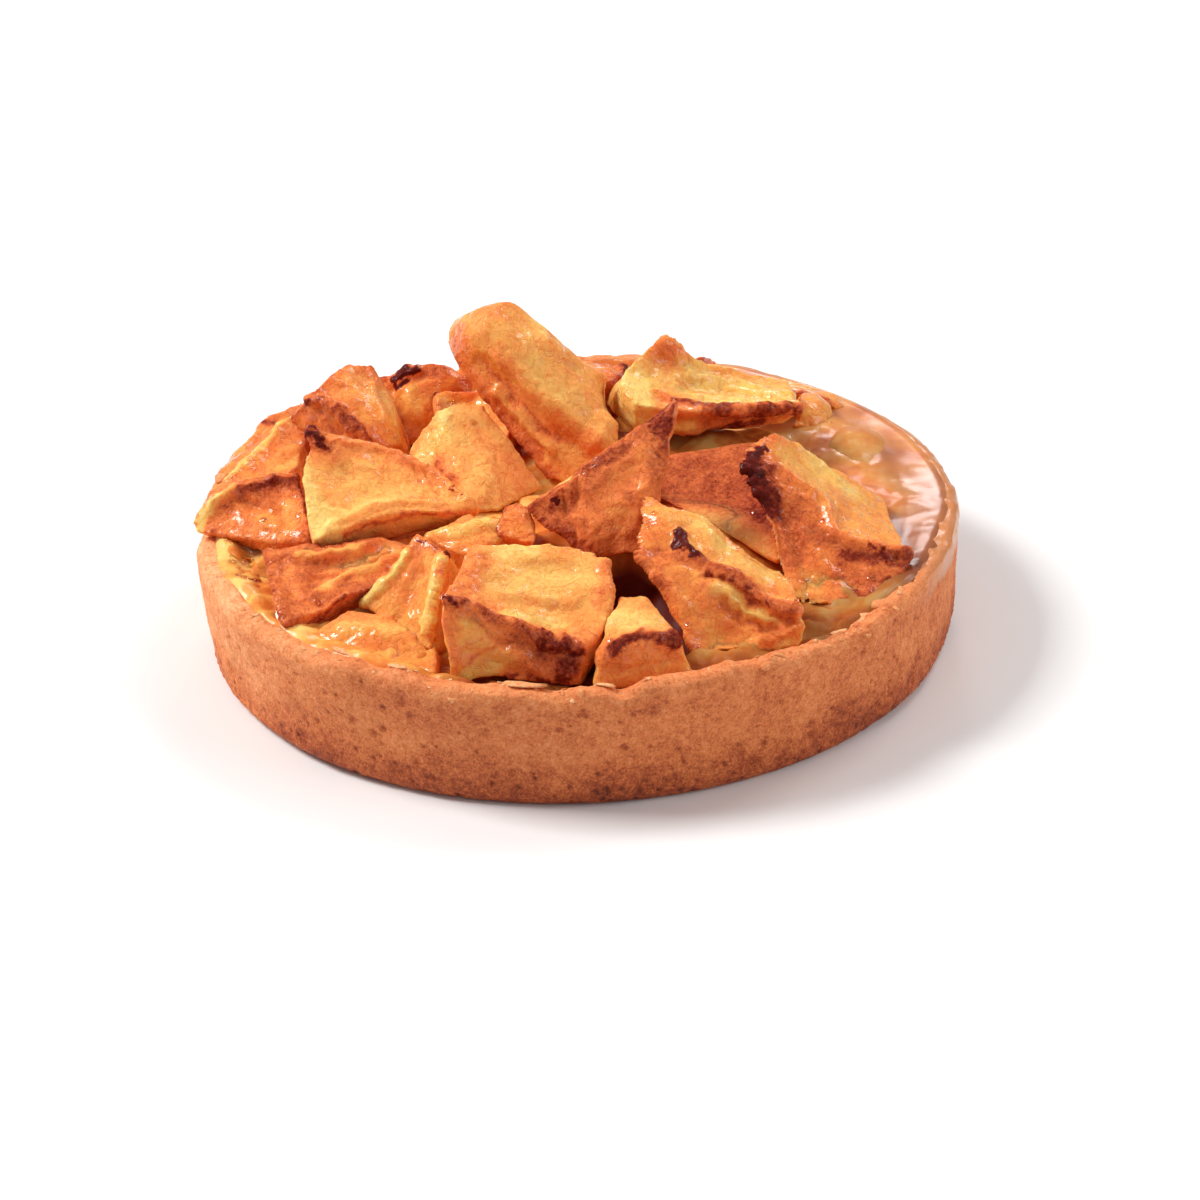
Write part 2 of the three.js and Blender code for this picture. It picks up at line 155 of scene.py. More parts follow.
# Chips off the rim: where, how far round, how deep down and how far in (degrees and millimetres).
CHIPS = [
    (181, 7, 0.9, 1.3), (-93, 5, 0.6, 0.2), (-84, 3.5, 0.9, 0.1), (-46, 10, 1.0, 0.3),
    (-121, 4, 0.4, 0.5), (140, 6, 0.7, 0.8), (112, 4, 0.5, 0.4), (-160, 5, 0.3, 0.6),
]


def rim_rise(points, angle):
    """How far the rim stands over its own level there, in millimetres."""
    flat = points * (1, 1, 0)
    worn = 1 - 0.7 * round_about(angle, 30, 60)
    rise = 0.3 * lumps(flat, 9, 1.7)
    rise = rise + worn * (0.24 * lumps(flat, 3, 5.2) + 0.2 * lumps(flat, 1.3, 9.4))
    return rise - sum(down * round_about(angle, centre, reach) for centre, reach, down, _ in CHIPS)


case = turned("pastry_case", CASE_PROFILE, steps=1080)
points = points_of(case)
points[:, 0] *= OUT_OF_ROUND
put_points(case, points)
angle, radius = around_and_out(points)
height = points[:, 2] / MM
outward = points * (1, 1, 0) / np.maximum(radius, 1)[:, None] / MM
on_wall = smooth(44, 48, radius)
on_rim = smooth(13.6, 15.8, height) * smooth(45.5, 46.6, radius)

# The glaze covers the rim from the front right round to the back, down to a wavy edge.
glazed = smooth(-34, -18, angle) * (1 - smooth(66, 88, angle)) * smooth(45, 46.5, radius)
glazed *= smooth(12.6, 14.6, height + 1.3 * lumps(points, 4, 3.1))

# The wall isn't quite even, and its rim least of all.
swell = 0.35 * lumps(points, 12, 2.3) + 0.2 * lumps(points, 4.5, 7.9)
swell = swell + 0.16 * lumps(points, 1.8, 3.3) * on_rim
near_top, near_wall = smooth(12.5, 15.2, height), smooth(48, 49.6, radius)
for centre, reach, _, back in CHIPS:
    swell -= back * round_about(angle, centre, reach) * near_top * near_wall
points[:, 2] += rim_rise(points, angle) * on_rim * MM
points += outward * (swell * on_wall * smooth(0.1, 2.5, height) * MM)[:, None]

# Pinholes and small dents that gas and crumbs left in the wall, most of them low down, each painted
# darker inside as shade.
PINHOLES = 1100
PINHOLE_RADII, PINHOLE_SHARES = [0.26, 0.4, 0.65, 1.3], [0.5, 0.35, 0.12, 0.03]
dice = np.random.default_rng(11)
inward, painted_pinhole_shade = np.zeros(len(points)), np.zeros(len(points))
for _ in range(PINHOLES):
    centre, up = dice.uniform(-180, 180), 0.7 + 14.5 * dice.uniform() ** 1.5
    size = dice.choice(PINHOLE_RADII, p=PINHOLE_SHARES)
    across = ((angle - centre + 180) % 360 - 180) * math.radians(RIM_RADIUS)
    apart = np.hypot(across, (height - up) * dice.uniform(0.8, 1.5))
    hollow = np.clip(1 - (apart / size) ** 2, 0, 1) * (radius > 47)
    inward = np.maximum(inward, hollow * min(0.42, 0.55 * size) * dice.uniform(0.4, 1))
    painted_pinhole_shade = np.maximum(painted_pinhole_shade, hollow * dice.uniform(0.12, 0.4) * min(1, 0.4 / size))
points -= outward * (inward * (1 - glazed) * MM)[:, None]
put_points(case, points)

# It is darker towards its foot and paler on the rim; paler on the left is painted light, where the
# key light falls.
bake_and_painted_light = 0.48 + 0.26 * smooth(9, 0.5, height) - 0.3 * smooth(120, 190, np.abs(angle)) - 0.1 * on_rim
bake_and_painted_light = bake_and_painted_light + 0.05 * lumps(points, 9, 4.4) + 0.05 * lumps(points, 3, 8.2)
mark(case, "pinhole_shade", painted_pinhole_shade)
mark(case, "glazed", glazed)
mark(case, "bake_and_painted_light", np.clip(bake_and_painted_light, 0, 1))

# The sand of the crumb stands up from the wall, less where the glaze covers it. Each kind of grain
# has a size and a height in millimetres.
SAND = ((0.42, 0.2), (1.0, 0.22))
SAND_LEVELS = 10
group = case.vertex_groups.new(name="sand")
bare = np.round(SAND_LEVELS * (1 - 0.9 * glazed) * smooth(0.05, 0.6, height))
for level in range(1, SAND_LEVELS + 1):
    group.add(np.flatnonzero(bare == level).tolist(), level / SAND_LEVELS, "REPLACE")
for size, strength in SAND:
    texture = bpy.data.textures.new("crumb", "CLOUDS")
    texture.noise_scale = size * MM
    texture.noise_depth = 1
    texture.noise_basis = "ORIGINAL_PERLIN"
    modifier = case.modifiers.new("crumb", "DISPLACE")
    modifier.texture = texture
    modifier.texture_coords = "LOCAL"
    modifier.strength = strength * MM
    modifier.mid_level = 0.5
    modifier.vertex_group = "sand"
    bpy.context.view_layer.objects.active = case
    bpy.ops.object.modifier_apply(modifier=modifier.name)


def linear(code):
    """An sRGB hex colour as the linear colour that a socket takes."""
    parts = [int(code[i:i + 2], 16) / 255 for i in (1, 3, 5)]
    return [c / 12.92 if c <= 0.04045 else ((c + 0.055) / 1.055) ** 2.4 for c in parts] + [1]


def new_material(name):
    """A material with no nodes yet."""
    made = bpy.data.materials.new(name)
    made.use_nodes = True
    made.node_tree.nodes.clear()
    return made


def node(material, kind, inputs=None, stops=(), **settings):
    """Adds a node: its settings, the stops of its ramp, and its inputs, by name or number, set or
    linked."""
    made = material.node_tree.nodes.new("ShaderNode" + kind)
    for name, value in settings.items():
        setattr(made, name, value)
    for number, (at, colour) in enumerate(stops):
        ramp = made.color_ramp.elements
        stop = ramp[number] if number < len(ramp) else ramp.new(at)
        stop.position, stop.color = at, linear(colour)
    for name, value in (inputs or {}).items():
        if isinstance(value, bpy.types.NodeSocket):
            material.node_tree.links.new(value, made.inputs[name])
        else:
            made.inputs[name].default_value = value
    return made


# Baked shortcrust: butter and sugar give a sandy matt crumb that goes from pale sand to brown with
# the heat. It is darker towards the foot, with painted light on the left and painted shade in its
# pinholes. Where the glaze lies it is wet and smooth.
# Its speckles are sand, crumbs, clumps of crumb and blotches, each with its size in millimetres, its
# detail and roughness, and how far it shifts the tone. Real sand of half that size wouldn't show.
CRUMB_SIZE = 0.38
SPECKLES = ((0.22, 1, 0.5, 0.09), (CRUMB_SIZE, 3, 0.6, 0.13), (1.1, 3, 0.6, 0.12), (4.5, 3, 0.6, 0.05))
shortcrust = new_material("baked_shortcrust")
where = node(shortcrust, "TexCoord").outputs["Object"]
bake_and_light = node(shortcrust, "Attribute", attribute_name="bake_and_painted_light").outputs["Fac"]
in_pinhole_shade = node(shortcrust, "Attribute", attribute_name="pinhole_shade").outputs["Fac"]
glaze = node(shortcrust, "Attribute", attribute_name="glazed").outputs["Fac"]
tone, speckle = bake_and_light, {}
for size, detail, uneven, amount in SPECKLES:
    speckle[size] = node(shortcrust, "TexNoise", {
        "Vector": where, "Scale": 1 / (size * MM), "Detail": detail, "Roughness": uneven})
    share = node(shortcrust, "MapRange", {
        "Value": speckle[size].outputs["Fac"],
        "From Min": 0.3, "From Max": 0.7, "To Min": -amount, "To Max": amount})
    tone = node(shortcrust, "Math", {0: tone, 1: share.outputs[0]}, operation="ADD").outputs[0]
# Painted shade darkens the pinholes.
tone = node(shortcrust, "Math", {0: in_pinhole_shade, 1: 0.9, 2: tone}, operation="MULTIPLY_ADD")
tint = node(shortcrust, "ValToRGB", {"Fac": tone.outputs[0]}, stops=(
    (0.0, "#f9bd88"), (1.0, "#6c2a10"), (0.25, "#ef975c"), (0.5, "#da783f"), (0.75, "#ae4f24")))
syrupy = node(shortcrust, "Mix", {
    0: glaze, 6: tint.outputs[0], 7: linear("#d07e3c")}, data_type="RGBA")
bump = node(shortcrust, "Bump", {
    "Height": speckle[CRUMB_SIZE].outputs["Fac"], "Strength": 0.7, "Distance": 0.28 * MM})
dullness = node(shortcrust, "MapRange", {"Value": glaze, "To Min": 0.72, "To Max": 0.34})
varnish = node(shortcrust, "MapRange", {"Value": glaze, "To Min": 0.0, "To Max": 0.6})
surface = node(shortcrust, "BsdfPrincipled", {
    "Base Color": syrupy.outputs[2], "Normal": bump.outputs[0],
    "Roughness": dullness.outputs[0], "Coat Weight": varnish.outputs[0],
    "Coat Roughness": 0.2, "Coat IOR": 1.48, "IOR": 1.45, "Subsurface Weight": 0.12,
    "Subsurface Radius": (1.0, 0.45, 0.2), "Subsurface Scale": 1.2 * MM})
node(shortcrust, "OutputMaterial", {"Surface": surface.outputs[0]})
case.data.materials.append(shortcrust)
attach(case, "root")
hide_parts("crust")

# -------------------------------------------------------------------------------------------------
# The filling. Apple stewed with sugar until it holds together, spooned into the baked case: a soft,
# lumpy, glossy mass that lies level with the rim and mounds up under the heap. In the deep gap at the
# front it is painted dark as shade, and on the right the glaze stands over it in a smooth rippled pool.

SPOONED_LEVEL = 13.6
FILLING_PROFILE = [
    (0, 4.3, 0),
    (43.8, 4.3, 5),
    (45.8, 6.3, 2),
    (46.3, 12.4, 3),
    (46.5, SPOONED_LEVEL, 2),
    (36, SPOONED_LEVEL, 34),
    (0, SPOONED_LEVEL, 70),
]
# Heights over the table, and what rises or sinks from them, in millimetres.
EDGE_LEVEL = 14.7
MOUND_RISE = 3.6
GAP_DEPTH = 6
SLAB_RISE = 2.6
TRENCH_DEPTH = 1.3
BANK_RISE = 1.5
POOL_LEVEL = 16.15


def along(points, path, width):
    """1 on a path through some places, falling smoothly to 0 that many millimetres away from it."""
    nearest = np.full(len(points), np.inf)
    for start, end in zip(path, path[1:]):
        start, way = np.array(start), np.array(end) - np.array(start)
        share = np.clip((points - start) @ way / (way @ way), 0, 1)
        nearest = np.minimum(nearest, np.linalg.norm(points - start - share[:, None] * way, axis=1))
    return np.clip(1 - (nearest / (width * MM)) ** 2, 0, None) ** 2


filling = turned("stewed_apple", FILLING_PROFILE, steps=720)
points = points_of(filling)
points[:, 0] *= OUT_OF_ROUND
angle, radius = around_and_out(points)
is_top = points[:, 2] > (SPOONED_LEVEL - 0.1) * MM
flat = points * (1, 1, 0)

# The gap runs in between the big front block and the twisted piece beside it.
_, block_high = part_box("apple_front_block")
twist_low, twist_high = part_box("apple_front_twist")
gap = along(flat, [
    ((block_high.x + twist_low.x) / 2, block_high.y + 4 * MM, 0),
    (twist_low.x + 3 * MM, (twist_low.y + twist_high.y) / 2 - 3 * MM, 0),
], 7)

# Under the slab at the back it is heaped up, and painted brown there as the slab's shadow.
slab_low, slab_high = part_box("apple_back_slab")
under_slab = along(flat, [
    (slab_low.x + 4 * MM, slab_low.y + 3 * MM, 0),
    ((slab_low.x + slab_high.x) / 2 + 6 * MM, slab_low.y + 8 * MM, 0),
], 11)

# The pool of glaze lies on the right, and its far end has a wavy shore. Soft yellow pulp lies between
# the piece under the glaze and the big wedge, up to the wedge's top.
bearing = angle + 9 * lumps(flat, 7, 3.6)
pool = smooth(-40, -26, angle) * (1 - smooth(70, 95, bearing)) * smooth(31, 37, radius)
sunk_low, sunk_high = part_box("apple_right_glazed")
_, wedge_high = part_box("apple_right_wedge")
bank = along(flat, [
    (sunk_low.x - 3 * MM, sunk_high.y + 2 * MM, 0),
    (sunk_low.x - 1 * MM, (sunk_low.y + sunk_high.y) / 2, 0),
    (sunk_low.x + 1 * MM, sunk_low.y - 1 * MM, 0),
    (wedge_high.x - 2 * MM, wedge_high.y + 1 * MM, 0),
], 6)
pool *= 1 - 0.75 * bank

# At the front the filling shrank away from the rim and left a trench, painted dark as shade.
trench = round_about(angle, -95, 34) * smooth(33, 39, radius)

# The top: its mound, its lumps, and the nearly level pool.
level = EDGE_LEVEL + MOUND_RISE * (1 - smooth(14, 40, radius))
level = level - GAP_DEPTH * gap + SLAB_RISE * under_slab - TRENCH_DEPTH * trench
rough = (1 - 0.9 * pool) * (1 - 0.7 * bank)
level += rough * (
    0.7 * lumps(flat, 5.5, 2.2) + 0.45 * lumps(flat, 2.6, 6.1) + 0.24 * lumps(flat, 1.3, 3.8))
level += pool * (POOL_LEVEL + 0.1 * lumps(flat, 9, 1.1) - level) + BANK_RISE * bank

# Where the glaze dried on the rim it wrinkled, outwards. It draws up round the two pieces in it.
spokes = np.stack([radius * 0.3, np.radians(angle) * 46, 0 * radius], axis=1) * MM
shore = pool * smooth(41.5, 44.5, radius) * smooth(3, 15, bearing)
wrinkles = 0.1 * lumps(spokes, 1.6, 3.7) + 0.05 * lumps(flat, 2.2, 6.6)
level += smooth(43, 45.5, radius) * shore * wrinkles
for name, rise in (("apple_right_glazed", 0.7), ("apple_back_right", 0.8)):
    low, high = (np.array(corner) * (1, 1, 0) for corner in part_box(name))
    level += rise * along(flat, [low * 0.4 + high * 0.6, low * 0.6 + high * 0.4], 8)

# It boiled over the inner edge of the rim, least at the front, and the glaze ran right over the top.
boiled = 0.5 * lumps(flat, 6, 4.6) + 0.35 * lumps(flat, 2.2, 9.9) + 0.15 * lumps(flat, 1, 5.5)
over = 0.8 + boiled * rough
over += 1.1 * pool + 0.9 * round_about(angle, 200, 70) - 2.0 * round_about(angle, -86, 46)
over += 0.9 * pool * smooth(-14, 0, angle)
over = np.clip(over, -0.6, 3) * smooth(42, 46.5, radius)
edge_lumps = 0.42 * lumps(flat, 2.4, 5.1) + 0.32 * lumps(flat, 1.2, 0.8) + 0.12 * lumps(flat, 0.6, 4.7)
edge_lumps *= (1 - pool) * (1 - bank)
level += edge_lumps * smooth(36, 41, radius) + 1.1 * round_about(angle, 190, 42) * smooth(32, 37, radius)

# Its brink follows the worn rim, a little above it where it ran over and below it where it didn't.
landing = points + flat / np.maximum(radius, 1)[:, None] * over[:, None]
brink = rim_rise(landing, angle)
brink = RIM_LEVEL + brink * (1 - 0.8 * pool) + 0.16 * smooth(0.5, 1.2, over)
brink -= (0.75 - 0.3 * pool) * smooth(45.6, 46.5, radius) + 2.2 * smooth(0.7, -0.5, over)
brink += (0.3 + 0.9 * edge_lumps) * round_about(angle, 186, 40) * (1 - smooth(44.5, 46.3, radius))
level += (brink - level) * smooth(42.5, 45.6, radius)
points[:, 2] = np.where(is_top, level * MM, points[:, 2])
points += flat / np.maximum(radius, 1)[:, None] * (over * is_top)[:, None]
put_points(filling, points)

# Painted shade: dark in the gap, under the slab, in the front trench and towards the front right.
painted_shade = np.maximum(gap, 0.3 * under_slab) + 0.36 * trench
painted_shade = painted_shade + 0.34 * round_about(angle, -48, 62) * smooth(28, 36, radius)
paler = 0.55 + 0.45 * lumps(flat, 4.2, 8.8) + 0.5 * edge_lumps - 0.25 * shore
paler = paler - 0.3 * round_about(angle, -115, 40) + 0.3 * round_about(angle, 190, 60)
mark(filling, "gap", np.clip(painted_shade, 0, 1))
mark(filling, "pool", pool - 0.55 * shore * smooth(43, 45, radius))
mark(filling, "lump", paler)

# Stewed apple: translucent yellow pulp in amber syrup, wet all over. Dark red-brown is painted in as
# shade in the gap, under the slab and along the front, and the syrup lies as clear amber glaze in the
# pool. Its pulp breaks into shreds of 1.6 mm, and what lies deep in the pool shows as soft patches of
# 7 mm.
stewed = new_material("stewed_apple_in_syrup")
where = node(stewed, "TexCoord").outputs["Object"]
in_gap_shade = node(stewed, "Attribute", attribute_name="gap").outputs["Fac"]
in_pool = node(stewed, "Attribute", attribute_name="pool").outputs["Fac"]
in_lump = node(stewed, "Attribute", attribute_name="lump").outputs["Fac"]
shreds = node(stewed, "TexNoise", {
    "Vector": where, "Scale": 1 / (1.6 * MM), "Detail": 4, "Roughness": 0.6})
mixed = node(stewed, "Math", {0: in_lump, 1: shreds.outputs["Fac"]}, operation="ADD")
mixed = node(stewed, "MapRange", {"Value": mixed.outputs[0], "From Min": 0.6, "From Max": 1.4})
tint = node(stewed, "ValToRGB", {"Fac": mixed.outputs[0]}, stops=(
    (0.0, "#cc6a2c"), (1.0, "#ffcc76"), (0.35, "#ee9042"), (0.65, "#faaa52")))
depths = node(stewed, "TexNoise", {
    "Vector": where, "Scale": 1 / (7 * MM), "Detail": 3, "Roughness": 0.5})
depths = node(stewed, "ValToRGB", {"Fac": depths.outputs["Fac"]}, stops=(
    (0.35, "#98522a"), (0.65, "#bf7540")))
amber = node(stewed, "Mix", {
    0: in_pool, 6: tint.outputs[0], 7: depths.outputs[0]}, data_type="RGBA")
# The painted shade mixes in a dark red-brown.
painted_shade_share = node(stewed, "MapRange", {"Value": in_gap_shade, "From Min": 0.05, "From Max": 0.5})
painted_shade_mix = node(stewed, "Mix", {
    0: painted_shade_share.outputs[0], 6: amber.outputs[2], 7: linear("#5e1408")}, data_type="RGBA")
pulpy = node(stewed, "MapRange", {"Value": in_pool, "To Min": 0.4, "To Max": 0.02})
bump = node(stewed, "Bump", {
    "Height": shreds.outputs["Fac"], "Distance": 0.3 * MM, "Strength": pulpy.outputs[0]})
dullness = node(stewed, "MapRange", {"Value": in_gap_shade, "To Min": 0.32, "To Max": 0.6})
dry = node(stewed, "Math", {0: in_pool, 1: -0.35, 2: in_gap_shade}, operation="MULTIPLY_ADD")
film = node(stewed, "MapRange", {
    "Value": dry.outputs[0], "From Min": -0.35, "From Max": 0.3, "To Min": 0.7, "To Max": 0.0})
surface = node(stewed, "BsdfPrincipled", {
    "Base Color": painted_shade_mix.outputs[2], "Normal": bump.outputs[0],
    "Roughness": dullness.outputs[0], "Coat Weight": film.outputs[0],
    "Coat Roughness": 0.16, "Coat IOR": 1.5, "IOR": 1.34, "Specular IOR Level": 0.2,
    "Subsurface Weight": 0.25, "Subsurface Radius": (1.0, 0.45, 0.15), "Subsurface Scale": 1.6 * MM})
node(stewed, "OutputMaterial", {"Surface": surface.outputs[0]})
filling.data.materials.append(stewed)
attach(filling, "root")
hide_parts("filling")

# -------------------------------------------------------------------------------------------------
# The apple pieces. A peeled dessert apple, cut into wedges and chunks, heaped raw on the filling and
# roasted: the flesh softened and wrinkled, thin edges curled up and browned, and the highest corners
# charred. Each starts from its solid, is rounded as roasting rounds it, and then gets its own folds.

# How roasted each piece is all over (0 pale yellow flesh, 0.5 orange, 1 burnt black), how wet with
# syrup it is, how often its edges were smoothed round, and how wrinkled it is.
COOKED = {
    "apple_front_block": (0.3, 0.35, 4, 0.8), "apple_front_wedge": (0.27, 0.45, 5, 0.8),
    "apple_front_twist": (0.3, 0.5, 4, 1.0), "apple_right_wedge": (0.34, 0.55, 4, 0.4),
    "apple_back_slab": (0.25, 0.6, 5, 0.9), "apple_back_wedge": (0.33, 0.35, 26, 0.3),
    "apple_middle_fang": (0.52, 0.2, 3, 1.1), "apple_left_triangle": (0.32, 0.3, 3, 0.8),
    "apple_left_under": (0.42, 0.5, 6, 0.8), "apple_left_upper": (0.44, 0.7, 4, 0.8),
    "apple_back_charred": (0.42, 0.8, 8, 1.0), "apple_yellow_slice": (0.29, 0.1, 8, 0.5),
    "apple_left_far": (0.48, 0.45, 5, 0.9), "apple_rim_outer": (0.37, 0.7, 7, 1.0),
    "apple_rim_inner": (0.42, 0.7, 7, 1.0), "apple_left_low": (0.57, 0.35, 5, 0.9),
    "apple_left_curl": (0.31, 0.6, 6, 0.15), "apple_front_flat": (0.36, 0.35, 30, 0.4),
    "apple_middle_ridge": (0.3, 0.6, 8, 1.0), "apple_middle_scrap": (0.4, 0.7, 10, 1.0),
    # The hollow cheek's deep roast is painted shade, from the slab above it.
    "apple_right_hollow": (0.64, -0.3, 320, 0.05), "apple_back_right": (0.29, 1.0, 60, 0.8),
    "apple_right_glazed": (0.4, 1.0, 40, 0.2), "apple_rear_left": (0.3, 0.5, 8, 1.0),
    "apple_rear_middle": (0.22, 0.6, 8, 1.0), "apple_rear_right": (0.34, 0.6, 8, 1.0),
    "apple_rear_corner": (0.26, 0.8, 8, 1.0), "apple_rear_wedge": (0.4, 0.5, 8, 1.0),
    "apple_middle_chunk": (0.28, 0.6, 8, 1.0), "apple_middle_back": (0.24, 0.5, 8, 1.0),
    "apple_left_behind": (0.36, 0.5, 8, 1.0),
}
# Two stewed in the glaze and changed their shape: what is left of each measure, from which place in
# its box it shrank or swelled, and how far the top sank towards its rim.
SLUMPED = {
    "apple_back_right": ((0.85, 0.6, 0.85), (0, 1, 0), 0.45),
    "apple_right_glazed": ((1.75, 1.15, 1.3), (0.8, 0.5, 0), 0.45),
}
